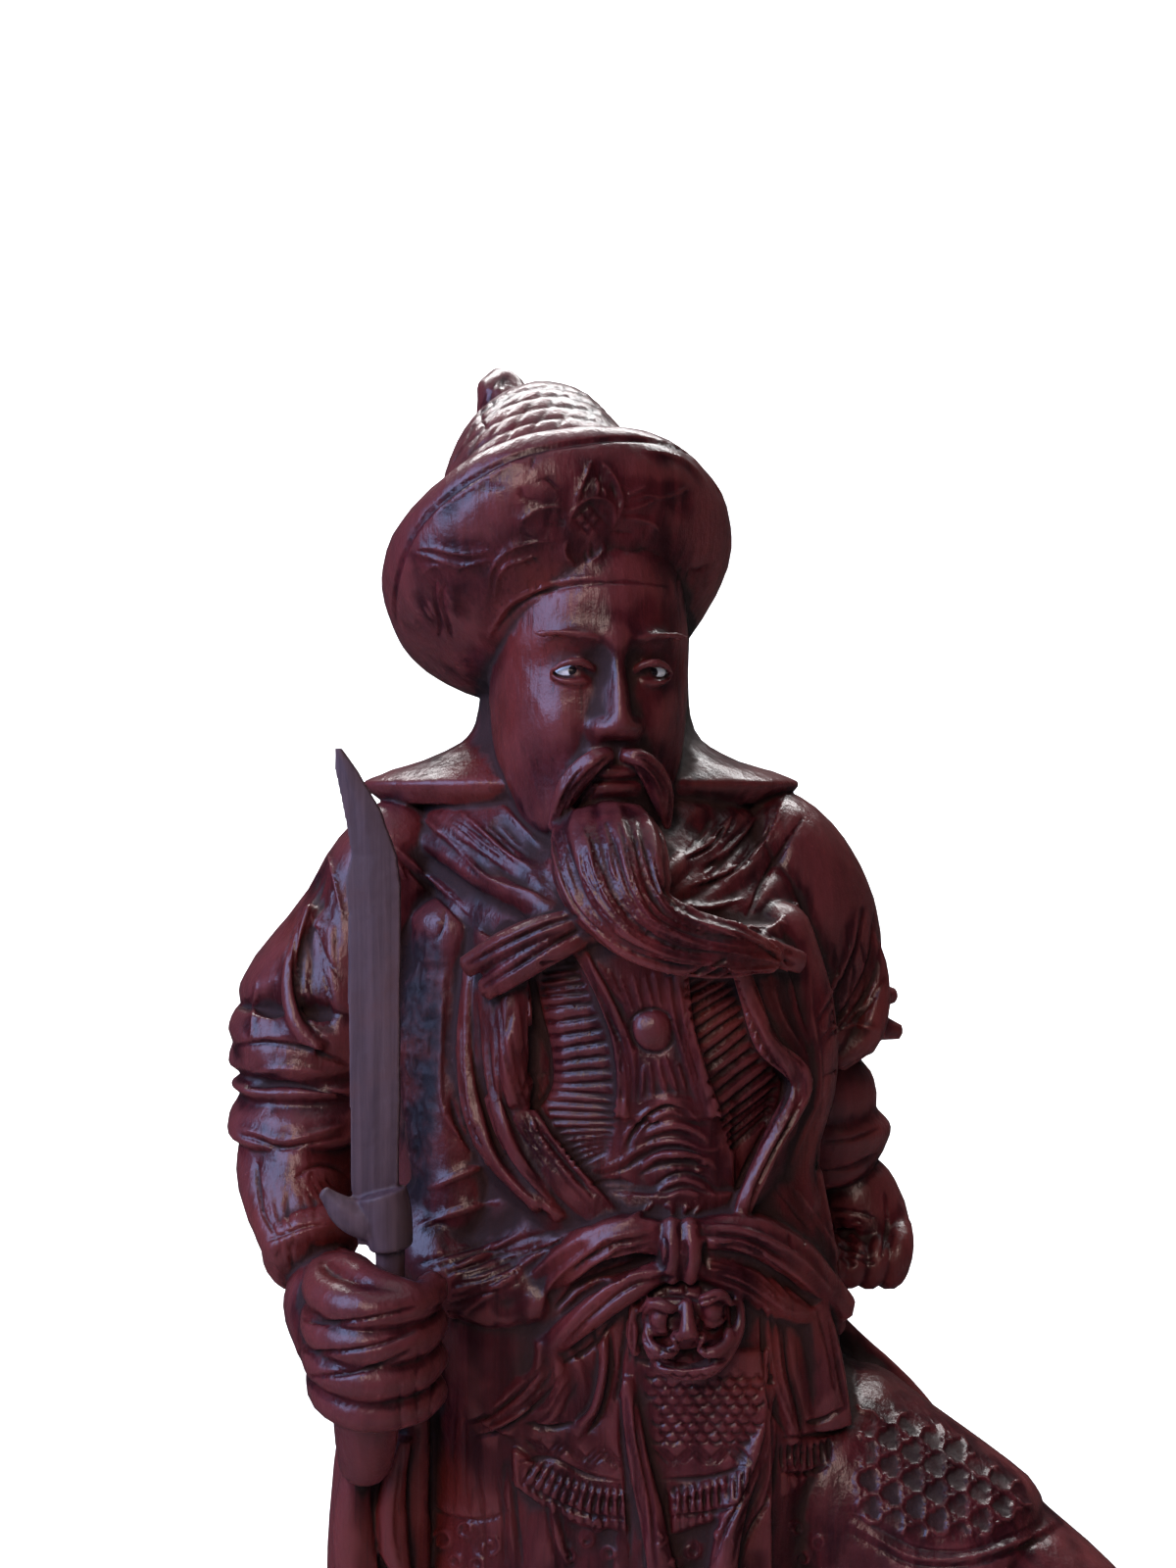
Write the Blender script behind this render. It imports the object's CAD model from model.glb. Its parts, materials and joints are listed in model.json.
# %% [markdown]
# # A carved hardwood warrior
# The real object is one block of dark red hardwood, carved into a standing warrior on a low rock,
# with a loose wooden sabre in its right fist and two inlaid eyes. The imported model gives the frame:
# every piece here lies where its node lies, in metres. The figure could be sculpted by hand, but
# then nothing in it could be measured or changed. So each form is a surface worked out with numpy,
# all forms are grown together into one skin, and the fine carving is cut into that skin.

# %% Load the frame
import json

import bpy
import numpy as np
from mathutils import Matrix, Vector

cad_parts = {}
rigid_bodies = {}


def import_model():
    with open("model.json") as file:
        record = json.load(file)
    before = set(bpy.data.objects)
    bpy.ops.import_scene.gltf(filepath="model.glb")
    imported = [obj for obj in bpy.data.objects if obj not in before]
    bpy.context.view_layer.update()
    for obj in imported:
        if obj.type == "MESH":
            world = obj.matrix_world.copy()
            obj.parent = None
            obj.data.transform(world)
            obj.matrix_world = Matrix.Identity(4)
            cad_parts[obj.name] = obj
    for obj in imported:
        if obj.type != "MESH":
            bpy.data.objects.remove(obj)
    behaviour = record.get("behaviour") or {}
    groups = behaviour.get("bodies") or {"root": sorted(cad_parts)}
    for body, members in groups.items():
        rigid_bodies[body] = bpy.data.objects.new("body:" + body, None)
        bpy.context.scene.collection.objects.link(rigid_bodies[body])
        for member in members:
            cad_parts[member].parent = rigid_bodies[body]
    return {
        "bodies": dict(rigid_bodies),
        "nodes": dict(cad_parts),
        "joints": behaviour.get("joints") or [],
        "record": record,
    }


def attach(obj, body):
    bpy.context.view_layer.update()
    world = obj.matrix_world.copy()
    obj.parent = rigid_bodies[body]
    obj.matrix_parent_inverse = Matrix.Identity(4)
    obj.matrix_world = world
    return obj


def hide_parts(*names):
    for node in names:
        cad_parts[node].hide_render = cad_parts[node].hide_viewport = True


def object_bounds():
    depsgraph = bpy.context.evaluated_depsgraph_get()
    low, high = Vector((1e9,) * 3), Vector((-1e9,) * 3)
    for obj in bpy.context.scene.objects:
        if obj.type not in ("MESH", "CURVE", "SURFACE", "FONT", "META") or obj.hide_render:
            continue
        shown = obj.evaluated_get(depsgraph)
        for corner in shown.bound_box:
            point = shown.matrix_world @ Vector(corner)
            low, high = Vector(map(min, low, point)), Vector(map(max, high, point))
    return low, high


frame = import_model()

cad_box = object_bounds()
print("CAD box", cad_box)

# %% [markdown]
# ## Sizes
# A carver works from a few named sizes, and so does this script. They are millimetres about the
# figure's own spine, the viewer looks along +Y, and +Z is up. Only at the very end are they moved
# to the middle of the base and turned into metres.

# %% Named sizes
MM = 0.001
SPINE = np.array([-45.0, 2.0, 0.0])
AHEAD = np.array([0.0, -1.0, 0.0])
UP = np.array([0.0, 0.0, 1.0])
TURN = 2 * np.pi

SKIN = 0.7
FIGURE_TRIANGLES = 194000

BASE = dict(centre=(45, -2), length=370, depth=216, height=41, corner=2.6)
HAT = dict(
    centre=(-13, 5, 615),
    axis=(-0.265, 0.466, 0.844),
    brim=[(34, -46), (45, -38), (55, -28), (62, -17), (63.5, -5), (60, 1.5), (55, -3), (42, -8)],
    crown=[(-12, 1, 44), (4, 1, 43), (20, 2.4, 40), (35, 3.4, 35.6), (48, 5, 30), (57, 7, 23.4),
           (63, 7.5, 12)],
    knob=[(58, 0, 11), (72, -0.5, 10.6), (80, 0, 8.6), (87, 0, 3.4)],
)
HEAD = dict(chin=(-1, -11, 508), turn=14, nod=4, eye_gap=26, eye_height=61, face_depth=38)
TORSO = dict(centre=(17, -6), wide=63, deep=51)
SABRE = dict(middle=(-61, -75), thickness=3.6, guard=386, tang=26)
EYE = dict(wide=5.6, high=2.7, deep=3.4)
FINGER = dict(radius=6.2, pitch=10.4, top=374)
print("figure skin", SKIN, "mm")

# %% [markdown]
# ## Lines, ramps and shells
# Almost every form on the figure is a section carried along a line, as a fold, a finger or a strap
# is. Blender's own curves with a bevel could do it, but they can't change their section freely. So a
# smooth line runs through a few stops, a ramp gives the width at each place, and the section is laid
# out on a grid of points: around on one side of the grid, along on the other.

# %% Smooth lines and ramps
def curve(stops, t):
    """Smooth line through the stops: between two stops a cubic whose slopes weigh the stops
    before and after by the square root of their distance, so that it never loops."""
    p = np.asarray(stops, float)
    p = np.vstack([2 * p[0] - p[1], p, 2 * p[-1] - p[-2]])
    at = np.clip(t, 0, 1) * (len(p) - 3)
    i = np.minimum(at.astype(int), len(p) - 4)
    w = (at - i)[:, None]
    a, b, c, d = p[i], p[i + 1], p[i + 2], p[i + 3]
    gap = [np.maximum(np.linalg.norm(v, axis=1) ** 0.5, 1e-4)[:, None] for v in (b - a, c - b, d - c)]
    start = ((b - a) / gap[0] - (c - a) / (gap[0] + gap[1]) + (c - b) / gap[1]) * gap[1]
    end = ((c - b) / gap[1] - (d - b) / (gap[1] + gap[2]) + (d - c) / gap[2]) * gap[1]
    return (b + w * start + w ** 2 * (3 * (c - b) - 2 * start - end)
            + w ** 3 * (2 * (b - c) + start + end))


def ramp(stops, t):
    """Value at t of evenly spaced stops: straight lines between them, rounded by averaging
    five places close together."""
    if np.isscalar(stops):
        return np.full(np.shape(t), float(stops))
    x = np.linspace(0, 1, len(stops))
    near = 0.35 / max(len(stops) - 1, 1)
    return sum(np.interp(t + near * k, x, stops) for k in (-1, -0.5, 0, 0.5, 1)) / 5


def unit(v):
    """The vector with length one."""
    return v / np.maximum(np.linalg.norm(v, axis=-1, keepdims=True), 1e-9)

# %% Shells
shells = []


def shell(grid, frame=None):
    """Closed shell from a grid of rings: each ring joins the next, and each end folds flat: its
    points meet those straight across, as the mouth of a tube does when it is pinched."""
    ends = [(grid[k] + grid[k][::-1])[None] / 2 for k in (0, -1)]
    grid = np.concatenate([ends[0], grid, ends[1]])
    if frame is not None:
        grid = grid @ frame[:3, :3].T + frame[:3, 3]
    shells.append(grid)


def frame_at(place, axis):
    """Frame at a place with z along the axis and -y towards the viewer."""
    z = unit(np.asarray(axis, float))
    x = unit(np.cross(z, AHEAD))
    m = np.eye(4)
    m[:3, :3] = np.column_stack([x, np.cross(z, x), z])
    m[:3, 3] = place
    return m


def line_frames(path, front, count):
    """Places along a line with their outward and sideways directions: outward is the front
    direction with its part along the line taken off, sideways is square to both."""
    t = np.linspace(0, 1, count)
    centre = curve(path, t)
    along = unit(np.gradient(centre, axis=0))
    out = unit(front - (along @ front)[:, None] * along)
    return t, centre, out, np.cross(out, along)


def counts(path, reach, gap):
    """How many rings and how many points round for a spacing of about the gap."""
    p = np.asarray(path, float)
    length = np.linalg.norm(np.diff(p, axis=0), axis=1).sum()
    return int(length / gap) + 6, max(int(TURN * reach / gap), 12), length

# %% Rods, layers and bands
def rod(path, wide, deep=None, front=AHEAD, relief=None, frame=None, gap=1.2, soft=0.7):
    """Rod along a line: centre + sideways * (wide + relief) * cos + outward * (deep + relief) * sin,
    with each end rounded like a quarter circle."""
    deep = wide if deep is None else deep
    rings, sides, length = counts(path, np.max(wide), gap)
    t, centre, out, side = line_frames(path, front, rings)
    a = np.linspace(0, TURN, sides, endpoint=False)
    w, d = ramp(wide, t)[:, None], ramp(deep, t)[:, None]
    edge = np.minimum(soft * np.minimum(w, d)[:, 0], 0.3 * length)
    near = np.clip(np.minimum(t, 1 - t) * length / np.maximum(edge, 1e-6), 0, 1)
    cap = np.sqrt(np.clip(1 - (1 - near) ** 2, 0.02, 1))[:, None]
    extra = 0 if relief is None else relief(a[None], t[:, None])
    shell(centre[:, None] + side[:, None] * ((w + extra) * cap * np.cos(a))[..., None]
          + out[:, None] * ((d + extra) * cap * np.sin(a))[..., None], frame)


def layers(levels, power=2.0, relief=None, frame=None, gap=1.5):
    """Body of level outlines (height, x, y, half width, half depth) joined by a smooth line
    through all five numbers; a power above 2 makes the outline squarer."""
    levels = np.asarray(levels, float)
    rings, sides, _ = counts(levels[:, [0, 3, 4]], levels[:, 3:].max(), gap)
    z, x, y, wide, deep = curve(levels, np.linspace(0, 1, rings)).T[..., None]
    a = np.linspace(0, TURN, sides, endpoint=False)[None]
    bend = lambda c: np.sign(c) * np.abs(c) ** (2 / power)
    extra = 0 if relief is None else relief(a, z)
    grid = np.stack([x + (wide + extra) * bend(np.cos(a)), y + (deep + extra) * bend(np.sin(a)),
                     z + 0 * a], axis=-1)
    shell(grid, frame)


def turned(profile, frame=None, gap=1.2, relief=None):
    """Body turned about its z axis from stops of (radius, height)."""
    layers([(h, 0, 0, r, r) for r, h in profile], frame=frame, gap=gap, relief=relief)


def band(path, wide, thick, across=2, pleat=0.0, front=AHEAD, gap=1.2, dish=0.0):
    """Flat band along a line: its face is a shallow arch, thick * (1 - 0.45 s^2), with pleats in a
    sine-squared wave or a dished middle, and its back is flat."""
    rings, _, _ = counts(path, 1, gap)
    t, centre, out, side = line_frames(path, front, rings)
    half, depth = ramp(wide, t)[:, None], ramp(thick, t)[:, None]
    s = np.linspace(-1, 1, max(int(2 * np.max(wide) / gap), 8))[None]
    face = (depth * (1 - 0.45 * s ** 2) + pleat * np.sin(np.pi * (s + 1) * across / 4) ** 2
            - dish * (1 - s ** 2))
    turn = np.concatenate([s, s[:, ::-1]], axis=1)
    lift = np.concatenate([face, -depth + 0 * s], axis=1)
    shell(centre[:, None] + side[:, None] * (half * turn)[..., None] + out[:, None] * lift[..., None])


def sheet(lines, back=(0, 13, -3), gap=1.2):
    """Smooth sheet that follows several lines side by side: a grid of the lines' points at equal
    shares, joined across by a smooth line too, with its back set deeper in the wood."""
    t = np.linspace(0, 1, counts(lines[0], 1, gap)[0])
    columns = np.stack([curve(line, t) for line in lines])
    wide = np.linalg.norm(np.diff(columns[:, len(t) // 2], axis=0), axis=1).sum()
    s = np.linspace(0, 1, int(wide / gap) + 4)
    face = np.stack([curve(columns[:, k], s) for k in range(len(t))])
    shell(np.concatenate([face, (face + np.asarray(back, float))[:, ::-1]], 1))


def boss(place, axis, radius, height, gap=0.8):
    """Rounded boss facing out along an axis."""
    turned([(radius * 0.9, -height * 0.6), (radius, 0), (radius * 0.8, height * 0.6),
            (radius * 0.35, height)], frame_at(place, axis), gap)


print("helpers ready")

# %% [markdown]
# ## Base, legs and boots
# The rock under the figure is left as the chisel broke it, with a mound for the raised left foot.
# A displaced grid is enough: a level outline, squarer than an ellipse, whose edge wanders with two
# sine waves round it. The boots and legs are rods with a few creases, plainer than the rest.

# %% Base
def rocky_base():
    """Edge = squared ellipse + broken waves round it, calm where the block is longest and deepest."""
    x, y = BASE["centre"]
    long, deep, high = BASE["length"] / 2, BASE["depth"] / 2, BASE["height"]

    def broken(a, z):
        chips = 5 * np.sin(7 * a + z * 0.16) + 3 * np.sin(11 * a - z * 0.1)
        facets = 1.2 * np.abs(np.sin(13 * a + z * 0.21)) + 0.8 * np.abs(np.sin(23 * a - z * 0.33))
        return (z > 0.5) * (np.sin(2 * a) ** 2 * chips - facets)

    layers([(0, x, y, long, deep), (13, x, y, long - 3, deep - 2.5), (26, x, y, long - 6, deep - 5),
            (high - 4, x, y, long - 9, deep - 8), (high, x, y, long - 18, deep - 17)],
           power=BASE["corner"], relief=broken, gap=2.2)
    lump = lambda a, z: 3.5 * np.sin(3 * a + z * 0.2) - 1.5 * np.abs(np.sin(5 * a + z * 0.3))
    layers([(24, 181, -36, 40, 44), (54, 180, -38, 37, 42), (78, 182, -42, 30, 34),
            (85, 183, -42, 20, 24)], relief=lump, gap=2)
    layers([(36, -24, -22, 42, 52), (45, -24, -22, 38, 48), (49, -24, -22, 30, 40)], relief=lump, gap=2)
    layers([(36, 88, -58, 36, 22), (52, 88, -56, 28, 17), (60, 90, -54, 15, 9)], relief=lump, gap=2)

# %% Legs and boots
def boot(top, ankle, aim):
    """Boot: a shaft with a rolled top, and a foot that ends in a turned-up toe."""
    reach = lambda f, rise: (ankle[0] + aim[0] * f, ankle[1] + aim[1] * f, ankle[2] + rise)
    crease = lambda a, t: 0.9 * np.cos(2 * a + 9 * t) * np.exp(-((t - 0.75) / 0.2) ** 2)
    rod([top, ankle], [25, 23, 18], relief=crease)
    rod([(top[0], top[1], top[2] - 5), (top[0], top[1], top[2] + 5)], [26, 29, 26])
    rod([reach(-20, -3), reach(4, -2), reach(30, -5), reach(48, -4), reach(60, 9)],
        [10, 17, 17.5, 13, 4], [11, 15, 12, 8, 3], front=UP)
    rod([reach(-20, -13), reach(10, -14), reach(44, -13)], [11, 18, 13], 4, front=UP)


def legs():
    """Straight right leg under the robe, and the left one raised onto the mound."""
    crease = lambda a, t: 1.8 * np.sin(5 * a + 7 * t)
    rod([(-6, 2, 330), (-11, -12, 230), (-16, -10, 150)], [40, 34, 32, 27], relief=crease, gap=2)
    rod([(48, 0, 306), (89, -14, 283), (122, -28, 264), (160, -44, 238), (181, -50, 220)],
        [42, 39, 37, 36.5, 24], front=UP,
        relief=lambda a, t: np.clip((t - 0.45) / 0.3, 0, 1) * 1.6 * np.sin(4 * a + 9 * t))
    rod([(176, -46, 236), (178, -44, 190), (176, -38, 150)], [34, 35, 33, 26], relief=crease)
    boot((-16, -9, 150), (-20, 2, 63), (-0.28, -0.96))
    boot((176, -38, 158), (174, -30, 103), (0.5, -0.866))
    rod([(60, -2, 304), (89, -14, 284), (122, -28, 265), (142, -36, 252)], [44, 42, 40.5, 39.5],
        front=UP)

# %% [markdown]
# ## Robe, cape and hanging cloth
# Under the armour a long robe hangs in folds that deepen downwards, and behind it a cape closes the
# block from the collar nearly to the rock. Real cloth would be simulated, but this cloth is wood:
# a carver cuts folds as regular furrows, so a cosine wave round the body is the truer form.

# %% Robe and cape
def robe():
    """Radius = body + a fold wave of thirteen furrows that grows with the distance below the belt."""
    fold = lambda a, z: np.clip((345 - z) / 28, 0, 6) * np.cos(13 * a + 0.5 * np.sin(z / 30))
    layers([(390, 18, -3, 57, 47), (350, 15, -5, 69, 56), (305, 14, -4, 75, 59),
            (240, 13, 0, 80, 62), (150, 10, 5, 87, 66), (128, 10, 6, 85, 64)], relief=fold, gap=1.8)


def side_cloth():
    """Cloth that hangs at both sides and closes the space behind the legs."""
    rod([(-62, -18, 352), (-67, -24, 300), (-70, -20, 230), (-74, -10, 150), (-76, 0, 52)],
        [14, 18, 19, 21, 22], [20, 25, 25, 26, 26],
        relief=lambda a, t: 1.8 * np.cos(6 * a + 5 * t), gap=1.8)
    rod([(62, 18, 328), (102, 20, 264), (122, 24, 180), (126, 26, 110), (124, 28, 38)],
        [24, 42, 46, 48, 50], [20, 22, 22, 22, 22],
        relief=lambda a, t: 2.2 * np.cos(7 * a + 3 * t), gap=2)


def cape():
    """Flattened rod down the back; furrows only where the section faces backwards."""
    def furrows(a, t):
        back = np.clip((0.3 - np.sin(a)) / 0.3, 0, 1)
        return back * ((0.6 + 3.6 * t) * np.cos(12 * a) + 0.5 * np.cos(31 * a + 4 * t))

    rod([(4, 22, 534), (8, 30, 500), (11, 36, 440), (10, 42, 360), (9, 50, 270), (7, 56, 180),
         (5, 60, 90), (4, 60, 38)], [52, 78, 84, 84, 92, 100, 104, 100],
        [12, 22, 26, 28, 28, 28, 28, 26], relief=furrows, gap=2.2)

# %% [markdown]
# ## Trunk, breastplate and coat
# The trunk is a squat column. On it lie a smooth plate, whose ribs are cut later, a waisted panel
# with a round boss, stepped arches, and an open coat whose rolled edges stand well proud of the plate.

# %% Trunk and middle panel
def chest_front(x):
    """Depth of the chest's front: y of an ellipse at a place across it."""
    s = (x - TORSO["centre"][0]) / TORSO["wide"]
    return TORSO["centre"][1] - TORSO["deep"] * np.sqrt(np.clip(1 - s * s, 0.1, 1))


def torso():
    """Column of level ellipses from the waist to the collar."""
    x, y = TORSO["centre"]
    layers([(366, x + 1, y, 60, 50), (382, x + 1, y, 59, 47), (402, x, y, 62, 49),
            (440, x, y, TORSO["wide"], TORSO["deep"]), (474, x - 1, y + 1, 64, 50),
            (500, x - 6, y + 5, 62, 42), (520, x - 12, y + 9, 52, 32), (534, x - 15, y + 10, 30, 24)])


def middle_panel():
    """Waisted panel: faint flutes between two lines that close in at the boss and part again."""
    levels = np.array([(482, -3, 26), (468, 5, 27), (452, 11.5, 29), (438, 14, 33), (424, 13, 38)], float)
    z, left, right = curve(levels, np.linspace(0, 1, 60)).T[..., None]
    s = np.linspace(0, 1, 66)[None]
    x = left + (right - left) * s
    flute = 0.8 + 0.15 * np.abs(np.sin(np.pi * 7 * s))
    face = np.stack([x, -61 - flute - 0.8 * np.cos(np.pi * (s - 0.5)) + 0 * x, z + 0 * s], -1)
    back = np.stack([x, -50 + 0 * x, z + 0 * s], -1)[:, ::-1]
    shell(np.concatenate([face, back], 1))
    for column, shift in ((1, -1.6), (2, 1.6)):
        for step, size in ((0, 1.2), (2.6 * np.sign(shift), 0.9)):
            rod([(row[column] + shift + step, -61.2, row[0]) for row in levels], size, size + 0.8,
                gap=0.8)
    boss((20, -62, 452), (0, -1, 0.05), 6.2, 3.4)


def arches_and_curls():
    """Stepped arches and curls under the middle panel."""
    sheet([[(x, y - 1.5 * np.cos((z - 408) / 14), z) for z in (436, 424, 410, 396, 384)]
           for x, y in ((6, -52.5), (15, -58), (26, -60.5), (37, -59.5), (47, -55))], back=(0, 10, 0))
    for x, z, span, rise, size in ((25, 431, 16, 15, 1.6), (27, 422, 13, 13, 1.4), (29, 413, 13, 9, 1.3)):
        rod([(x - span, -57, z - rise), (x - span * 0.7, -60, z - rise * 0.3), (x, -62, z),
             (x + span * 0.7, -60, z - rise * 0.3), (x + span, -56, z - rise)], size, 2, gap=0.8)


def curl(place, radius, turns=1.25, away=(0, -1, 0)):
    """Spiral cord lying on the wood: its radius shrinks evenly while it turns and rises."""
    m = frame_at(place, away)
    k = np.linspace(0, 1, 14)
    a = TURN * turns * k + 0.8
    r = radius * (1 - 0.82 * k)
    spiral = np.stack([r * np.cos(a), r * np.sin(a), 0.4 * radius * k], -1) @ m[:3, :3].T + m[:3, 3]
    rod(spiral, [radius * 0.3, radius * 0.36, radius * 0.3], front=np.asarray(away, float), gap=0.7)
    boss(place, away, radius * 0.8, radius * 0.3)

# %% Coat
def plate():
    """Smooth plate behind the ribs and the panel, so that no gap shows between them."""
    sheet([[(x, chest_front(x) - 3.4, z) for z in (484, 456, 432, 408, 384)]
           for x in (-22, -14, -6, 8, 20, 34, 46, 58, 66)], back=(0, 10, 0))


def coat_fronts():
    """Fronts of the coat on both sides, each one smooth sheet with a full middle."""
    sheet([[(-41, -32, 484), (-42, -35, 455), (-41, -38, 428), (-35, -44, 406), (-22, -50, 386)],
           [(-32, -46, 480), (-34, -51, 455), (-32, -53, 428), (-24, -57, 406), (-10, -59, 386)],
           [(-20, -54, 478), (-18, -57, 455), (-21, -58, 429), (-9, -61, 409), (5, -63, 391)]])
    sheet([[(47, -58, 476), (53, -58, 456), (68, -52, 436), (57, -58, 412), (47, -62, 390)],
           [(60, -48, 484), (67, -46, 458), (75, -41, 434), (68, -44, 410), (62, -47, 386)],
           [(72, -24, 490), (78, -24, 458), (81, -23, 434), (80, -22, 410), (79, -22, 384)]])


def skirt_front():
    """Skirt of the coat and the belly under it: one smooth front from hip to hip."""
    heights = (400, 374, 342, 308, 270)
    sheet([[(x, y, z) for (x, y), z in zip(stops, heights)] for stops in (
        [(-56, -20), (-59, -24), (-60, -26), (-58, -28), (-57, -30)],
        [(-42, -37), (-45, -46), (-42, -50), (-38, -50), (-38, -52)],
        [(-22, -50), (-22, -58), (-20, -59), (-18, -58), (-18, -58)],
        [(4, -60), (4, -63), (4, -62), (3, -63), (3, -63)],
        [(34, -63), (34, -64), (34, -65), (33, -66), (32, -66)],
        [(62, -50), (64, -54), (64, -55), (66, -54), (66, -52)],
        [(79, -32), (83, -36), (84, -36), (86, -34), (87, -30)])], back=(0, 14, 0))


def coat():
    """Rolled lapels each side of the breastplate, and the folds outside them."""
    rod([(-22, -47, 478), (-24, -52, 454), (-24, -54, 436), (-23, -55, 426)], [4, 6.5, 6.5, 4],
        [5, 6, 6, 4.5])
    band([(-24, -54, 428), (-15, -57.5, 414), (-3, -60, 401), (7, -61, 391)], [3.4, 6.4, 5.6, 4.4],
         [4, 4.6, 4, 3.6], dish=0.8)
    for i in (0, 1):
        rod([(-38 + 8 * i, -36 - 6 * i, 470), (-40 + 8 * i, -40 - 6 * i, 440),
             (-33 + 9 * i, -49 - 5 * i, 414), (-14 + 6 * i, -57, 394 - 3 * i)], [4, 4, 4, 3],
            [7.5, 8.5, 8.5, 6])
    rod([(-44, -18, 492), (-50, -20, 450), (-46, -26, 412), (-40, -34, 380), (-38, -34, 350)],
        [14, 18, 19, 18, 14], [16, 19, 19, 15, 8])
    rod([(-54, -20, 398), (-46, -36, 374), (-28, -47, 366), (-8, -55, 368)], [16, 19, 16, 10],
        [16, 16, 14, 9], front=UP)
    rod([(60, -30, 490), (70, -28, 456), (71, -28, 432), (62, -32, 404), (60, -34, 384)],
        [12, 13, 13, 14, 20], [12, 16, 16, 15, 14])
    band([(44, -58, 484), (52, -58, 461), (57, -57, 447), (69, -51, 434), (60, -57, 417), (52, -61, 402),
          (46, -62, 388)], [2.4, 3.4, 3.6, 4, 3.2, 2.8, 2.4], [3, 3.2, 3.2, 3.6, 3, 3, 3], dish=0.5)

# %% [markdown]
# ## Sash, apron and fringe
# The belt is tied in a flat bow. Under the knot hangs an apron with a beast mask and a fringe. Each
# fold is a band or a rod along its own line, and the fringe's bars come from one function; the rows
# of scales are too fine for forms of their own and are cut later.

# %% Sash
def sash():
    """Belt, bow and tails: flat bands along lines that run over the coat."""
    layers([(374, 18, -5, 58, 50), (379, 18, -5, 63, 54), (389, 18, -5, 63, 54), (393, 18, -5, 58, 49)])
    band([(28, -64, 386), (12, -66, 389), (-4, -62, 381), (-19, -54, 364), (-15, -55, 350)],
         [5, 5.5, 5.5, 5, 3], [6, 7, 7, 7, 5], dish=1)
    band([(28, -64, 380), (12, -66, 372), (-1, -63, 362), (-13, -57, 350)], [3.5, 4.5, 4.5, 4],
         [6, 7, 7, 6], dish=0.6)
    band([(30, -64, 388), (49, -61, 387), (66, -50, 376), (84, -34, 356)], [5, 7, 8, 5], [7, 7, 8, 7],
         pleat=1)
    band([(30, -64, 381), (46, -61, 374), (63, -51, 362), (82, -34, 350)], [4, 5.5, 6, 4], [6, 7, 7, 6])
    for shift in (-2.6, 2.6):
        rod([(29 + shift, -66, 394), (29 + shift * 1.2, -70, 385), (29 + shift, -66, 374)], [3, 3.6, 2.6],
            [4, 5, 4])
    band([(-12, -56, 354), (-9, -56, 342), (-11, -55, 330), (-14, -53, 319)], [5, 12, 17, 21],
         [6, 6, 5, 4], across=6, pleat=1.6)
    rod([(-12, -58, 348), (-20, -56, 334), (-37, -49, 322)], [3, 4, 2.4])
    rod([(5, -61, 362), (3, -62, 336), (-4, -60, 323)], [2, 2.8, 2.2])
    band([(66, -46, 360), (70, -44, 342), (73, -43, 318)], [12, 13, 14], [6, 5, 4], across=4, pleat=1.2)
    band([(57, -53, 366), (59, -54, 346), (66, -52, 318)], [2.6, 3.4, 3], [4, 5, 4])
    band([(12, -62, 342), (16, -66, 318), (22, -69, 290), (24, -71, 262), (22, -70, 226)],
         [2, 3.4, 4, 4.6, 5], [4, 5, 5, 5, 5])
    band([(58, -56, 338), (52, -62, 318), (46, -67, 304), (42, -70, 284), (41, -70, 236)],
         [2, 3.6, 3.6, 4.4, 5], [4, 5, 5, 5, 5])

# %% Apron
def apron():
    """Apron cloth, and a beast mask on it: arched brows over round eyes, a wedge of a nose, a
    moustache that curls outwards, and a crescent of a jaw with teeth."""
    band([(35, -58, 350), (35, -60, 320), (33, -63, 280), (31, -65, 210), (30, -62, 142)],
         [22, 23, 25, 28, 31], 5.4, across=4, pleat=0.3)
    rod([(15, -63, 362), (30, -64, 362), (45, -62, 364)], [9, 11.5, 9], [5, 6, 5])
    for s, x, z in ((-1, 22.5, 363.5), (1, 39, 366)):
        boss((x, -69.6, z), (0, -1, 0.1), 3.3, 2.8, gap=0.6)
        rod([(x + 6.4 * s, -67.5, z + 0.6), (x + 2 * s, -71.6, z + 5.4), (x - 5 * s, -73, z + 3.4)],
            [1.0, 2.1, 1.7], gap=0.6)
        rod([(x + 5 * s, -68, z - 2.4), (x, -70.8, z - 4.6), (x - 4.6 * s, -70, z - 2.6)],
            [0.6, 1.1, 0.6], gap=0.6)
        rod([(31 + 2.6 * s, -74, 355.8), (31 + 7.6 * s, -73.4, 354), (31 + 12.6 * s, -70.6, 357),
             (31 + 12.4 * s, -69, 361)], [1.2, 2.3, 1.8, 0.7], gap=0.6)
        boss((31 + 3.7 * s, -73.6, 359), (0.3 * s, -1, 0), 2.0, 2.2, gap=0.6)
        boss((31 + 2.4 * s, -71.4, 352.2), (0, -1, 0), 1.3, 1.8, gap=0.5)
    rod([(30.4, -71, 370.5), (30.7, -73.8, 364.6), (31, -76.4, 359.2)], [1.8, 2.2, 3.4], [2, 2.6, 3],
        gap=0.6)
    rod([(18, -67, 355), (23, -70, 349.4), (31, -71.6, 347.4), (39, -71.6, 349.4), (44.6, -69, 355),
         (47.8, -67, 362), (47, -66, 371)], [1.3, 2.4, 2.8, 2.8, 2.4, 1.8, 1.0], gap=0.6)
    rod([(15, -65, 367), (14, -66, 358), (15, -66, 350)], [1.4, 2.4, 1.4], gap=0.8)
    for x, z, r in ((17, 372, 3), (38, 375, 2.8), (26, 376, 2.8)):
        curl((x, -64.5, z), r)

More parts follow.
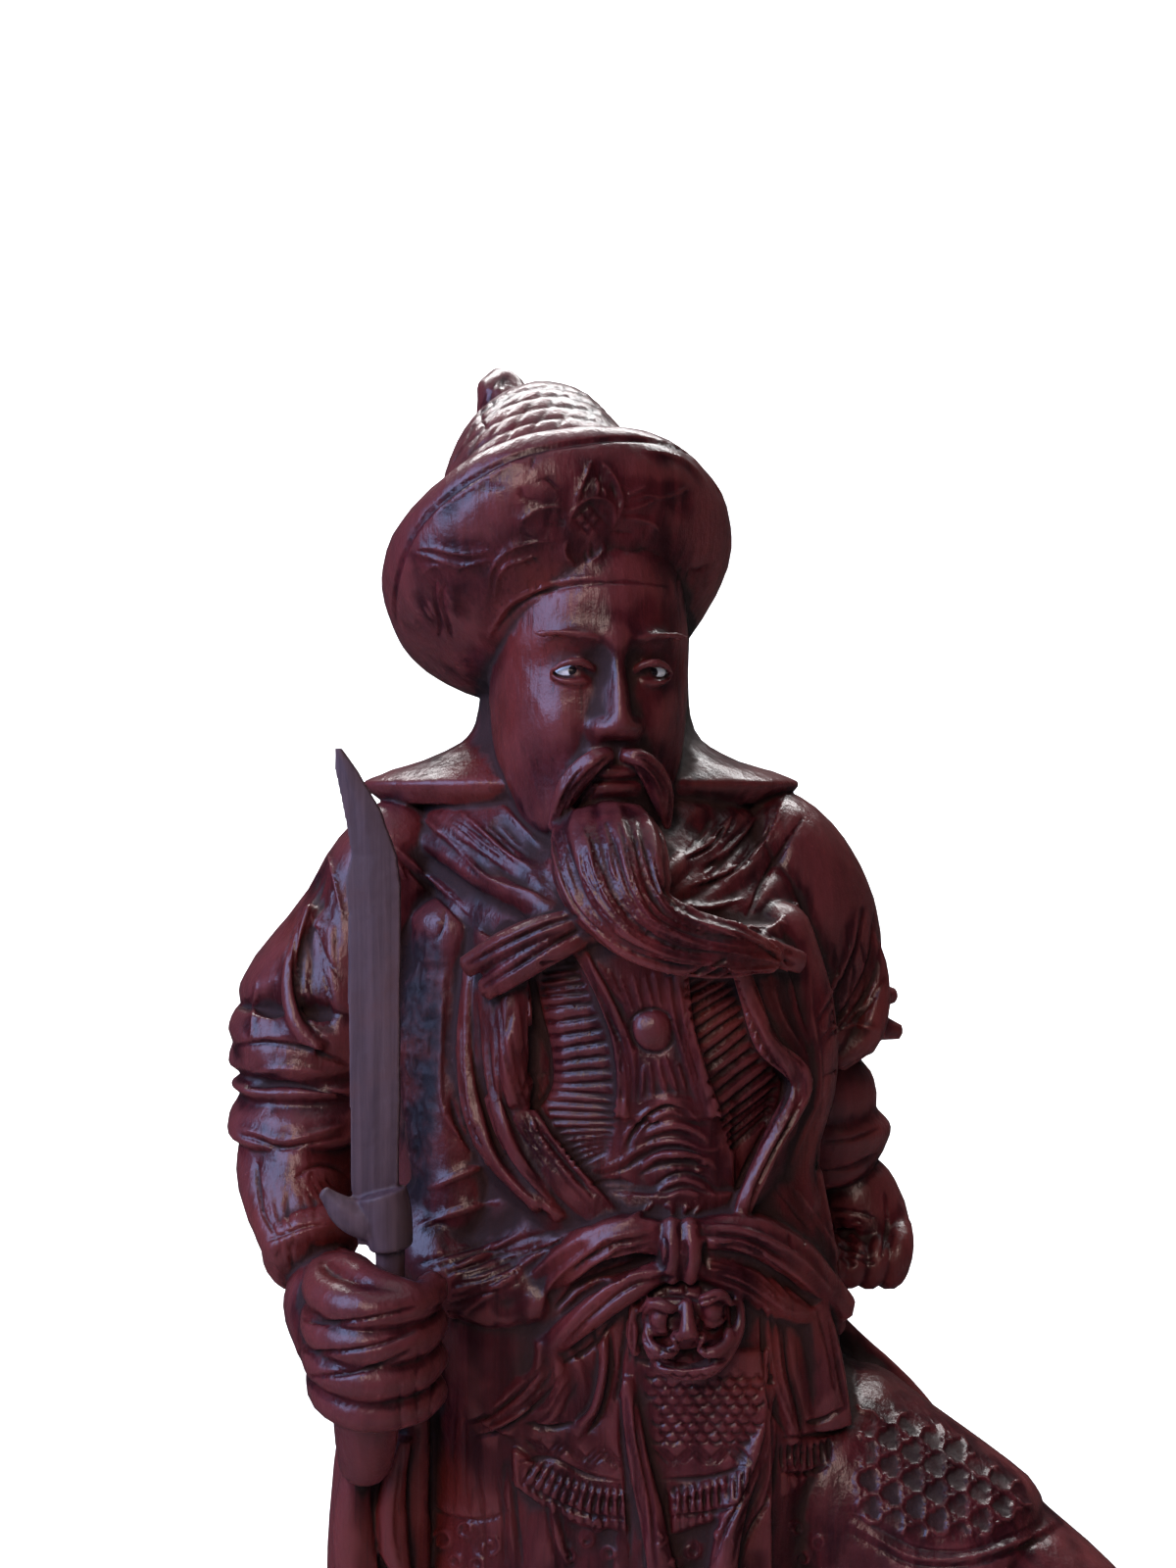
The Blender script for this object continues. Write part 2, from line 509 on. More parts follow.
# %% Fringe
def fringe(start, sag, end, count):
    """Row of short upright bars: the outline runs from start to end with a sag like half a sine, and
    the depth is the absolute value of a sine along it."""
    t = np.linspace(0, 1, count * 10 + 1)[None]
    rise = np.linspace(4.6, -4.6, 16)[:, None]
    a, b = np.asarray(start, float), np.asarray(end, float)
    line = a + (b - a) * t[..., None]
    proud = (0.8 + 2.4 * np.abs(np.sin(np.pi * count * t)) ** 0.6
             * np.sqrt(np.clip(1 - (rise / 4.9) ** 6, 0, 1)))
    z = line[..., 2] - sag * np.sin(np.pi * t) + rise
    face = np.stack([line[..., 0] + 0 * rise, line[..., 1] - proud, z], -1)
    back = np.stack([line[..., 0] + 0 * rise, line[..., 1] + 8 + 0 * rise, z], -1)[:, ::-1]
    shell(np.concatenate([face, back], 1))


def fringes():
    """Three hanging edges with a bead along the top of each."""
    for start, sag, end, count in (((-24, -57, 311), 4, (13, -64, 300), 13),
                                   ((26, -67, 300), -1, (50, -65, 305), 9),
                                   ((62, -55, 306), -2, (87, -36, 308), 8)):
        fringe(start, sag, end, count)
        t = np.linspace(0, 1, 5)[:, None]
        line = np.asarray(start) + (np.asarray(end) - np.asarray(start)) * t
        line[:, 2] += 6 - sag * np.sin(np.pi * t[:, 0])
        line[:, 1] -= 0.6
        rod(line, 1.3, 1.9, gap=0.8)

# %% [markdown]
# ## Arms and hands
# The right sleeve is full, gathered in hoops at the elbow over a puffed plate, and the fist closes
# round the sabre. The left sleeve sweeps into a pointed cuff, and that hand is closed behind the hip.

# %% Right arm
def right_arm():
    """Sleeve, teardrop ridge, elbow hoops, forearm and wrist cuff."""
    rod([(-50, 8, 515), (-66, 5, 500), (-79, 1, 476), (-91, -4, 451), (-95, -9, 437)],
        [17, 27, 27.5, 33, 31], [18, 25, 28.5, 32, 28], relief=lambda a, t: 1.3 * np.sin(3 * a + 5 * t))
    rod([(-95, -20, 489), (-100.5, -29, 466), (-97, -36, 450), (-89, -39, 441)], [2, 3.2, 3.2, 2])
    layers([(407, -98, -20, 18, 20), (411, -98, -18, 26, 25), (418, -97, -16, 26, 25),
            (423, -96, -13, 25, 24), (427, -96, -12, 28.5, 27), (430, -95, -11, 26, 25),
            (434, -95, -10, 30, 28), (440, -94, -10, 30.5, 28), (446, -93.5, -9, 32, 29),
            (452, -92, -8, 31, 28)],
           relief=lambda a, z: 0.5 * np.sin(5 * a + z * 0.4))
    rod([(-97, -16, 418), (-99, -26, 398), (-95, -40, 382), (-88, -52, 372)], [20, 20, 14.5, 13.5],
        [20, 20, 16, 15], relief=lambda a, t: 0.9 * np.sin(4 * a + 8 * t))
    rod([(-94, -40, 384), (-88, -50, 374)], [14.5, 16.5, 15])


def right_hand():
    """Fist: the back of the hand, four fingers that swell at each knuckle, the thumb on top."""
    radius, pitch, top = FINGER["radius"], FINGER["pitch"], FINGER["top"]
    rod([(-90, -46, 374), (-80, -58, 363), (-71, -66, 357), (-60, -66, 357)], [13, 18, 20, 17],
        [12, 14, 16, 14])
    for i in range(4):
        z = top - pitch * i
        pull = (0, 1, 0.5, -2)[i]
        rod([(-84, -60, z + 1), (-81 - pull, -78, z), (-67, -89 - pull, z - 1), (-53, -85 - pull, z - 1),
             (-47, -70, z)], [radius - 1, radius, radius - 0.4, radius - 0.2, radius - 1.6],
            [radius, radius + 0.3, radius - 0.3, radius - 0.2, radius - 1], front=UP, gap=0.8,
            relief=lambda a, t: 0.35 * np.cos(TURN * 2 * t))
    rod([(-86, -58, 372), (-76, -70, 377), (-62, -84, 376.5), (-50, -84, 374)], [7, 6.6, 6, 4.5],
        front=UP, gap=0.8)


def grip_end():
    """Below the fist: the end of the grip, a hanging ribbon and a pointed leaf."""
    rod([(-70, -66, 344), (-70, -63, 328), (-71, -60, 308)], [9, 11, 7], [9, 10, 7])
    band([(-74, -50, 314), (-76, -50, 290), (-73, -48, 258), (-77, -42, 220), (-74, -36, 188)],
         [4, 6.5, 7, 8, 2], [8, 7, 6, 6, 6])
    band([(-60, -44, 316), (-64, -47, 296), (-63, -48, 282), (-58, -46, 268)], [2, 5, 5, 1], [8, 7, 6, 6])

# %% Left arm
def left_arm():
    """Smooth shoulder, swept folds, fluted cuff with two tips, forearm, ring and hand."""
    rod([(46, 8, 516), (63, 10, 503), (75, 14, 483), (81, 18, 460), (85, 22, 440)], [18, 28, 30, 28, 22],
        [20, 29, 32, 29, 24])
    for i in range(3):
        rod([(96 - 8 * i, -2 - 4 * i, 486 - 8 * i), (103 - 8 * i, 2, 462 - 4 * i),
             (99 - 12 * i, -4, 442 - 2 * i), (87 - 12 * i, -6, 430)], [2.5, 5, 6, 3])
    layers([(430, 86, 22, 18, 20), (434, 87, 22, 19.5, 23), (441, 88, 22, 21, 24), (452, 87, 21, 20, 22)],
           relief=lambda a, z: 1.8 * np.cos(4 * a))
    for start, tip in (((98, 22, 452), (113, 24, 451)), ((98, 22, 442), (115, 24, 437))):
        rod([start, (tip[0] + 2.5, tip[1], tip[2])], [8.5, 2], soft=0.2)
    rod([(88.5, 24, 432), (90, 27, 398), (95, 28, 380)], [19.5, 18.5, 16])
    layers([(390, 91, 28, 18, 18), (395, 91, 28, 20.5, 20), (402, 91, 28, 22.5, 22),
            (409, 90, 27, 18, 18)])
    rod([(92, 28, 388), (101, 28, 374), (104, 24, 361), (98, 20, 353)], [14, 16.5, 16, 12],
        [14, 17, 16, 12])
    for i in range(4):
        rod([(115 - 7.5 * i, 22, 369 - 2 * i), (113 - 7.5 * i, 8, 361 - 2 * i), (110 - 7.5 * i, 8, 352),
             (107 - 7 * i, 20, 348.5)], [5, 5.2, 4.8, 3.5], gap=0.8)

# %% [markdown]
# ## Scarf and head cloth
# A kerchief lies over both shoulders in soft rolls that meet at the throat, with three loose tails.
# A cloth hangs from under the hat, frames the head and flares out over the shoulders.

# %% Scarf and head cloth
def scarf():
    """Two smooth cloths over a bib, six soft crests on them, and three tails."""
    left = [[(-78, 8, 514), (-57, -10, 510), (-34, -36, 498), (-14, -54, 489), (-3, -60, 482)],
            [(-60, 4, 522), (-38, -18, 513), (-20, -42, 500), (-5, -58, 487)],
            [(-44, 0, 526), (-27, -22, 514), (-11, -46, 500), (0, -58, 489)]]
    right = [[(80, 8, 516), (66, -8, 506), (46, -36, 493), (25, -54, 485), (6, -60, 482)],
             [(66, 4, 520), (51, -18, 507), (32, -44, 495), (14, -58, 486)],
             [(50, 3, 524), (39, -22, 511), (26, -46, 500), (10, -59, 489)]]
    for i, path in enumerate(left + right):
        rod(path, [4, 5.5, 5.5, 4.5, 4] if i % 3 == 0 else [4, 5, 4.5, 3.5], [3.6, 4.2, 4, 3])
    for lines in (
            [[(-80, 10, 509), (-60, -12, 501), (-37, -38, 480), (-18, -54, 475), (-4, -60, 475)],
             [(-64, 2, 521), (-45, -19, 511), (-28, -43, 494), (-15, -54, 486), (-4, -60, 482)],
             [(-48, -2, 527), (-31, -23, 515), (-18, -43, 502), (-8, -54, 492), (-1, -59, 488)],
             [(-28, 0, 532), (-17, -17, 525), (-9, -34, 515), (-3, -46, 504), (2, -53, 497)]],
            [[(78, 8, 516), (62, -10, 505), (44, -37, 489), (26, -55, 480), (8, -60, 476)],
             [(66, 2, 521), (51, -19, 508), (34, -43, 495), (19, -55, 486), (8, -59, 483)],
             [(51, -2, 526), (39, -22, 514), (27, -43, 501), (16, -54, 491), (9, -58, 488)],
             [(32, 0, 532), (23, -16, 525), (17, -32, 514), (12, -45, 503), (9, -52, 497)]]):
        sheet(lines, back=(0, 14, -6))
    layers([(480, 8, -14, 36, 40), (496, 4, -12, 48, 42), (518, 1, 0, 60, 34), (530, 0, 4, 40, 28)])
    for path in ([(2, -61, 489), (-12, -62, 485), (-26, -59, 479), (-39, -52, 471)],
                 [(0, -61, 482), (-12, -62, 477), (-24, -59, 470), (-33, -53, 464)],
                 [(22, -61, 484), (36, -61, 482), (52, -57, 478), (69, -47, 472)]):
        band(path, [3, 4, 4.4, 3.6], [5, 6, 6, 5], dish=0.8)
    boss((2, -62, 486), (-0.2, -1, 0), 7, 6)


def neck_cloth():
    """Cloth from under the hat that flares out over the shoulders."""
    layers([(523, -3, 14, 72, 40), (530, -3, 14, 79.5, 43), (534, -3, 14, 72, 40), (540, -3, 13, 54, 36),
            (549, -2, 12, 41, 33), (588, -1, 10, 37, 31)], relief=lambda a, z: 0.5 * np.cos(9 * a))

# %% [markdown]
# ## Head
# The head keeps its place, turn and size, and its face is a plain, calm one on the proportions of a
# drawing book: eyes halfway up, nose and mouth on thirds. Sculpting would hide how it is made, so
# each feature is a soft bump pushed forward from the skull, and the lids are thin rods.

# %% Head frame
def head_frame():
    """Turn about the upright axis after a nod about the sideways one, placed at the chin."""
    turn, nod = np.radians(HEAD["turn"]), np.radians(HEAD["nod"])
    about_z = np.array([[np.cos(turn), -np.sin(turn), 0], [np.sin(turn), np.cos(turn), 0], [0, 0, 1]])
    about_x = np.array([[1, 0, 0], [0, np.cos(nod), -np.sin(nod)], [0, np.sin(nod), np.cos(nod)]])
    m = np.eye(4)
    m[:3, :3] = about_z @ about_x
    m[:3, 3] = HEAD["chin"]
    return m


HEAD_FRAME = head_frame()


def bump(x, z, x0, z0, wide, high):
    """Soft bump of height one: exp(-(x distance / wide)^2 - (z distance / high)^2)."""
    return np.exp(-((x - x0) / wide) ** 2 - ((z - z0) / high) ** 2)


def features(x, z):
    """Millimetres that the face stands forward of the skull, as a sum of bumps; |x| mirrors them."""
    side = np.abs(x)
    eye = HEAD["eye_gap"] / 2
    line = HEAD["eye_height"]
    bridge = np.interp(z, [38.4, 40, 42.5, 46, 58, 68, 74, 80], [0, 3, 8.6, 9.4, 5.6, 2.6, 1.6, 0])
    broad = np.interp(z, [40, 46, 58, 70], [5.2, 4.8, 3.6, 4.2])
    nose = bridge * np.exp(-np.abs(x / broad) ** 2.4) + 4.4 * bump(side, z, 6.2, 43, 3.1, 3.4)
    brow = 2.1 * bump(side, z, eye, line + 11.5, 11, 3.4)
    socket = -3.6 * bump(side, z, eye - 1, line + 1, 9, 6) - 2 * bump(side, z, 6.5, line + 1, 3.4, 5)
    ball = 2.9 * bump(side, z, eye, line, 6.6, 4.6)
    cheek = 2.2 * bump(side, z, 19, 45, 7.5, 9) - 1.6 * bump(side, z, 21, 25, 7, 9)
    mouth = 2.6 * bump(x, z, 0, 28, 14, 9)
    upper = 1.7 * bump(0, z, 0, 29.2 - 0.012 * x * x, 1, 2.1) * np.exp(-(x / 8.6) ** 4)
    lower = 2.0 * bump(0, z, 0, 23.4 + 0.012 * x * x, 1, 2.3) * np.exp(-(x / 7.6) ** 4)
    parting = -2.2 * bump(0, z, 0, 26.3 - 0.006 * x * x, 1, 0.9) * np.exp(-(x / 10) ** 4)
    groove = -0.7 * bump(x, z, 0, 35, 1.5, 4.5) - 1.4 * bump(x, z, 0, 17.5, 9, 3)
    fold = -0.8 * np.exp(-((side - 9.5 - 0.32 * (42 - z)) / 1.6) ** 2) * bump(0, z, 0, 37, 1, 8)
    chin = 2.6 * bump(x, z, 0, 8, 10, 7)
    return nose + brow + socket + ball + cheek + mouth + upper + lower + parting + groove + fold + chin

# %% Head
def head():
    """Skull of level ellipses, pushed forward by the features where it faces ahead."""
    d = HEAD["face_depth"]
    levels = np.array([(0, 0, -12, 15, 16), (8, 0, -10, 24, 25), (18, 0, -6, 28.5, 31.5),
                       (28, 0, -2, 31.5, 36), (38, 0, -1, 33, 37), (47, 0, 0, 33.7, d), (55, 0, 0, 34, d),
                       (62, 0, 0, 34, d), (72, 0, 0, 34, d), (84, 0, 1, 33, 38), (98, 0, 3, 31.5, 36.5),
                       (112, 0, 5, 27, 32)], float)
    z, x, y, wide, deep = curve(levels, np.linspace(0, 1, 220)).T[..., None]
    a = np.linspace(0, TURN, 420, endpoint=False)[None]
    across = x + wide * np.cos(a)
    ahead = np.clip(-np.sin(a) * 2.5, 0, 1) ** 2
    grid = np.stack([across, y + deep * np.sin(a) - ahead * features(across, z), z + 0 * a], -1)
    shell(grid, HEAD_FRAME)
    for s in (1, -1):
        eye, line = s * HEAD["eye_gap"] / 2, HEAD["eye_height"]
        lid = lambda dx, forward, dz: (eye + s * dx, -forward, line + dz)
        rod([lid(-7.4, 33.4, -1.2), lid(-4.4, 36.0, 2.0), lid(0, 36.7, 3.3), lid(4.2, 35.2, 2.3),
             lid(8.2, 31.6, -0.6)], [0.7, 1.3, 1.5, 1.3, 0.7], frame=HEAD_FRAME, gap=0.6)
        rod([lid(-6.6, 33.6, -1.8), lid(-3, 35.4, -3.0), lid(1, 35.5, -3.4), lid(4.6, 34.2, -2.8),
             lid(7.6, 31.6, -1.4)], [0.5, 0.9, 1.1, 0.9, 0.5], frame=HEAD_FRAME, gap=0.6)
        for k in range(9):
            at = k / 8
            rod([(s * (5 + 17 * at), -38.2 + 5.5 * at * at, line + 10.0 + 1.7 * np.sin(2.4 * at)),
                 (s * (9 + 17.5 * at), -38.4 + 7 * at * at, line + 11.8 + 1.3 * np.sin(2.6 * at))],
                [0.7, 1.0, 0.5], frame=HEAD_FRAME, gap=0.6)

# %% [markdown]
# ## Moustache and beard
# The moustache droops in two tufts, and the long beard sweeps to the viewer's right. Hair curves
# could be grown on it, but carved hair is a solid lock with gouged strands, so the lock is a rod
# whose radius carries two cosine waves of different pitch.

# %% Moustache and beard
def strands(count, depth):
    """Relief of gouged strands round a lock: waves of two pitches that drift as the lock runs on."""
    return lambda a, t: np.clip(3 * t + 0.4, 0, 1) * (
        depth * np.cos(count * a + 1.5 * np.sin(5 * t))
        + 0.45 * depth * np.cos((2 * count + 3) * a - 3 * t))


def beard():
    """Two drooping tufts, the swept mass of the beard and loose locks on it."""
    for s in (1, -1):
        rod([(s * 1.5, -40, 34.5), (s * 7, -42.5, 33), (s * 13, -40, 27), (s * 17, -37, 19),
             (s * 20, -33, 9)], [1.6, 3.6, 4.4, 3.6, 0.8], [2.4, 3.6, 3.8, 3.2, 0.8],
            relief=strands(6, 0.4), frame=HEAD_FRAME, gap=0.6)
    mass = [(4, -44, 520), (6, -58, 509), (10, -68, 497), (17, -73, 487), (30, -73, 481), (45, -70, 478),
            (61, -62, 474)]
    rod(mass, [15, 19, 17, 12, 10, 8.5, 3], [8, 11, 11, 9, 7, 6, 2], relief=strands(9, 0.75), gap=0.7)
    for x, i in ((-9, 0), (-3, 1), (5, 0), (13, 1)):
        rod([(x, -56, 511), (x + 3, -66.5, 500), (x + 10 + i, -72, 489 - 2 * i),
             (x + 22, -74, 483 - 3 * i)], [3, 4, 3.4, 1.2], relief=strands(5, 0.4), gap=0.7)

# %% [markdown]
# ## Hat
# The hat is a low pointed crown with a knob inside a wide turned-up brim, worn tilted back. It is
# turned like a bowl, and then a few net lines are cut in the crown, where the radius dips along
# evenly spaced heights and angles.

# %% Hat
HAT_FRAME = frame_at(HAT["centre"], HAT["axis"])


def near_line(value, pitch, width):
    """One on each line of an even set and zero between: exp(-(distance to the line / width)^2)."""
    off = value - pitch * np.round(value / pitch)
    return np.exp(-(off / width) ** 2)


def hat():
    """Brim turned from its profile, crown and knob of shifted circles."""
    def roll(a, h):
        return 0.5 * np.sin(3 * a) + 0.35 * np.sin(7 * a + 1)

    def net(a, h):
        lines = np.maximum(near_line(h + 3 * np.sin(a), 7.5, 0.8),
                           near_line(a - 0.02 * h, TURN / 26, 0.022))
        side = np.clip(np.cos(a + 0.6) * 3 + 0.9, 0, 1)
        return -0.9 * lines * side * np.clip((60 - h) / 8, 0, 1)

    turned(HAT["brim"], HAT_FRAME, 1.0, relief=roll)
    layers([(h, shift, 0, r, r) for h, shift, r in HAT["crown"]], relief=net, frame=HAT_FRAME, gap=0.8)
    layers([(h, shift, 0, r, r) for h, shift, r in HAT["knob"]], frame=HAT_FRAME, gap=1,
           relief=lambda a, h: 0.5 * np.sin(4 * a + h * 0.3))

# %% [markdown]
# ## One skin over all the forms
# Joined shells still cross each other inside. A Boolean union would keep every razor edge, while a
# carver's knife leaves small hollows where forms meet. So the shells are remeshed on a fine grid of
# cells, which keeps only the outside, and the skin is then rubbed down a little.

# %% From arrays to meshes and back
def mesh_object(name, points, faces):
    """Mesh object from arrays of points in metres and of faces with equally many corners."""
    mesh = bpy.data.meshes.new(name)
    mesh.vertices.add(len(points))
    mesh.vertices.foreach_set("co", np.ascontiguousarray(points, np.float32).ravel())
    mesh.loops.add(faces.size)
    mesh.loops.foreach_set("vertex_index", np.ascontiguousarray(faces, np.int32).ravel())
    mesh.polygons.add(len(faces))
    mesh.polygons.foreach_set("loop_start", np.arange(0, faces.size, faces.shape[1], dtype=np.int32))
    mesh.update(calc_edges=True)
    obj = bpy.data.objects.new(name, mesh)
    bpy.context.scene.collection.objects.link(obj)
    return obj


def grids_to_arrays(grids):
    """All grids as one list of points and one of four-cornered faces; rows are rings."""
    points, faces, start = [], [], 0
    for grid in grids:
        rings, sides = grid.shape[:2]
        i, j = np.meshgrid(np.arange(rings - 1), np.arange(sides), indexing="ij")
        a, b = start + i * sides + j, start + i * sides + (j + 1) % sides
        faces.append(np.stack([a, b, b + sides, a + sides], -1).reshape(-1, 4))
        points.append(grid.reshape(-1, 3))
        start += rings * sides
    return np.vstack(points), np.vstack(faces)


def baked(obj):
    """Puts the object's modifiers into its mesh."""
    made = obj.evaluated_get(bpy.context.evaluated_depsgraph_get())
    fresh = bpy.data.meshes.new_from_object(made)
    old = obj.data
    obj.modifiers.clear()
    obj.data = fresh
    bpy.data.meshes.remove(old)
    return obj


def points_of(mesh):
    """Vertex places of a mesh as an array, in metres."""
    co = np.empty(len(mesh.vertices) * 3, np.float32)
    mesh.vertices.foreach_get("co", co)
    return co.reshape(-1, 3).astype(float)


def normals_of(mesh):
    """Vertex normals of a mesh as an array."""
    co = np.empty(len(mesh.vertices) * 3, np.float32)
    mesh.vertex_normals.foreach_get("vector", co)
    return co.reshape(-1, 3).astype(float)


def edges_of(mesh):
    """Pairs of vertex numbers of a mesh's edges."""
    pairs = np.empty(len(mesh.edges) * 2, np.int32)
    mesh.edges.foreach_get("vertices", pairs)
    return pairs.reshape(-1, 2)


def skinned(name, grids, cell):
    """One closed skin over all grids: remeshed in cells of that size, in millimetres."""
    points, faces = grids_to_arrays(grids)
    obj = mesh_object(name, (points + SPINE) * MM, faces)
    grow = obj.modifiers.new("skin", "REMESH")
    grow.mode = "VOXEL"
    grow.voxel_size = cell * MM
    grow.adaptivity = 0
    baked(obj)
    print(name, "skin:", len(obj.data.vertices), "points")
    return obj


def spread(values, edges, rounds):
    """Rounds of averaging each vertex with the mean of its neighbours, half and half."""
    count = np.bincount(edges.ravel(), minlength=len(values))[:, None]
    for _ in range(rounds):
        total = np.stack([
            np.bincount(edges[:, 0], values[edges[:, 1], k], len(values))
            + np.bincount(edges[:, 1], values[edges[:, 0], k], len(values))
            for k in range(values.shape[1])], -1)
        values = 0.5 * values + 0.5 * total / np.maximum(count, 1)
    return values

# %% Grow the figure
for make in (rocky_base, legs, robe, side_cloth, cape, torso, plate, middle_panel, arches_and_curls,
             coat_fronts, coat, skirt_front, sash, apron, fringes, right_arm, right_hand, grip_end,
             left_arm, scarf, neck_cloth, head, beard, hat):
    before = len(shells)
    make()
    print(make.__name__, "adds", len(shells) - before, "shells")
figure = skinned("carved_figure", shells, SKIN)

# %% [markdown]
# ## Carving on the skin
# A carver draws on the block and follows the lines with gouges. The same is done here: a drawing
# sheet of 1200 by 1600 squares stands in front of the figure, every point of the skin that is seen
# from half a metre away gets its place on the sheet, and each gouge stroke moves the points near
# its line in or out along their normals. A point is seen when it lies about nearest in its small
# patch of the sheet. A sculpted normal map would look alike from the front, but it would be gone in
# the solid mesh.

# %% The drawing sheet
VIEW = dict(place=(0.0, -545.0, 530.0), squares=1556.0, middle=(600, 800))
PATCH, MARGIN, PATCHES = 4, 200, (500, 1000)
places = points_of(figure.data) / MM - SPINE
links = edges_of(figure.data)
places = spread(places, links, 2)
print("rubbed down", len(places), "points")


def on_sheet(p):
    """Place on the sheet: squares * sideways / depth right of its middle, the same downwards."""
    depth = p[:, 1] - VIEW["place"][1]
    return (VIEW["middle"][0] + VIEW["squares"] * p[:, 0] / depth,
            VIEW["middle"][1] - VIEW["squares"] * (p[:, 2] - VIEW["place"][2]) / depth)


def skin_normals(p):
    """Outward normals of the skin at its present places."""
    figure.data.vertices.foreach_set("co", ((p + SPINE) * MM).astype(np.float32).ravel())
    figure.data.update()
    return normals_of(figure.data)


outward = skin_normals(places)
u, v = on_sheet(places)
facing = unit(np.array(VIEW["place"]) - places)
slope = (outward * facing).sum(1)
column = np.clip((u + MARGIN) // PATCH, 0, PATCHES[0] - 1).astype(int)
row = np.clip((v + MARGIN) // PATCH, 0, PATCHES[1] - 1).astype(int)
patch = row * PATCHES[0] + column
nearest = np.full(PATCHES[0] * PATCHES[1], 1e9)
np.minimum.at(nearest, patch, places[:, 1])
seen = np.flatnonzero((slope > 0.12) & (places[:, 1] < nearest[patch] + 5 + 6 * (1 - slope)))
u, v = u[seen], v[seen]
height = np.zeros(len(seen))
print(len(seen), "points can be carved")


def near(points, reach):
    """Seen points within reach of a line's box."""
    low, high = points.min(0) - reach, points.max(0) + reach
    return np.flatnonzero((u > low[0]) & (u < high[0]) & (v > low[1]) & (v < high[1]))


def stroke(points, width, depth, point=0.5, ends=0.3):
    """One stroke along a line. With off = 1 on the line and 0 at the tool's width, its section is
    depth * (point * off + (1 - point) * (3 off^2 - 2 off^3)), so a point of 1 is a V and 0 a soft
    trough, and both ends thin out like a square root. A positive depth cuts in, a negative one
    leaves a ridge. The deepest stroke wins, so that crossing strokes don't add up."""
    line = curve(points, np.linspace(0, 1, 8 * len(points)))
    pick = near(line, width)
    if not len(pick):
        return
    here = np.stack([u[pick], v[pick]], -1)
    a, b = line[:-1], line[1:]
    along = b - a
    t = np.clip(((here[:, None] - a) * along).sum(-1) / np.maximum((along ** 2).sum(-1), 1e-9), 0, 1)
    far = np.linalg.norm(here[:, None] - (a + t[..., None] * along), axis=-1)
    k = far.argmin(1)
    share = (k + t[np.arange(len(k)), k]) / len(a)
    taper = np.clip(np.minimum(share, 1 - share) / max(ends, 1e-6), 0, 1) ** 0.5
    off = np.clip(1 - far.min(1) / (width * (0.45 + 0.55 * taper)), 0, 1)
    cut = depth * taper * (point * off + (1 - point) * off * off * (3 - 2 * off))
    now = height[pick]
    height[pick] = np.where(np.abs(cut) > np.abs(now), -cut, now) if depth > 0 else (
        np.where(now < -0.15, now, np.maximum(now, -cut)))


def cuts(width, depth, *lines):
    """Several gouge cuts of one tool."""
    for points in lines:
        stroke(points, width, depth)


def ridges(width, rise, *lines):
    """Several ridges left standing between shallow hollows."""
    for points in lines:
        stroke(points, width, -rise, point=0.3)


def carved(what):
    """Prints how much of the seen skin has been cut or raised so far."""
    print(what, "carved:", np.count_nonzero(height), "points, deepest", height.min().round(2), "mm")


fold_height = np.zeros(len(seen))


def folds(width, depth, *lines):
    """Broad soft folds, which add to each other: depth times a smooth bell across the line."""
    global height
    fine, height = height, np.zeros(len(seen))
    for points in lines:
        stroke(points, width, depth, point=0.0, ends=0.35)
        fold_height[:] += height
        height[:] = 0
    height = fine

# %% [markdown]
# ### Hat: rolled edge, flower and leaves
# The brim's edge is set off by a groove with a light ridge inside it. The flower has a hatched heart
# between curved petals, and long leaves run out on both sides, all in shallow single strokes.

# %% Carve the hat
BRIM_GROOVE = [(404, 642), (402, 612), (407, 582), (418, 553), (436, 526), (458, 506), (480, 490),
    (508, 474), (540, 462), (590, 452), (640, 448), (690, 456), (716, 470), (730, 492), (737, 514)]
cuts(4.5, 1.1, BRIM_GROOVE)
BRIM_ROLL = [[(421, 548), (434, 531), (452, 515), (472, 503), (492, 491), (512, 479), (532, 467)],
    [(655, 459), (675, 462), (695, 468), (712, 482), (722, 498)]]
ridges(4.5, 0.7, *BRIM_ROLL)
BAND_RIDGE = [(497, 652), (505, 636), (520, 616), (545, 602), (580, 592), (610, 588)]
ridges(4, 0.9, BAND_RIDGE)
BAND_GROOVE = [(503, 652), (512, 636), (528, 619), (550, 606), (582, 598), (640, 594), (682, 599)]
cuts(3.5, 0.9, BAND_GROOVE)
FLOWER_PETALS = [[(586, 519), (590, 505), (599, 482), (603, 470)],
    [(613, 471), (622, 480), (631, 496), (635, 511), (630, 530), (619, 543)],
    [(608, 486), (610, 498), (607, 508)], [(616, 496), (618, 508)],
    [(583, 546), (580, 534), (585, 522), (594, 512), (606, 508), (620, 511), (627, 520), (627, 534),
     (620, 545)], [(579, 550), (576, 562), (580, 571), (588, 577)],
    [(614, 552), (616, 560), (610, 568), (601, 574)]]
ridges(3.5, 0.9, *FLOWER_PETALS)
FLOWER_HEART = [[(590, 541), (612, 517)], [(583, 533), (604, 512)], [(598, 545), (621, 522)],
    [(589, 516), (612, 543)], [(600, 511), (621, 537)], [(583, 526), (602, 546)],
    [(597, 560), (598, 576)], [(604, 554), (605, 570)], [(594, 505), (600, 488)],
    [(624, 492), (629, 508)], [(611, 480), (612, 496)]]
cuts(2.6, 0.7, *FLOWER_HEART)
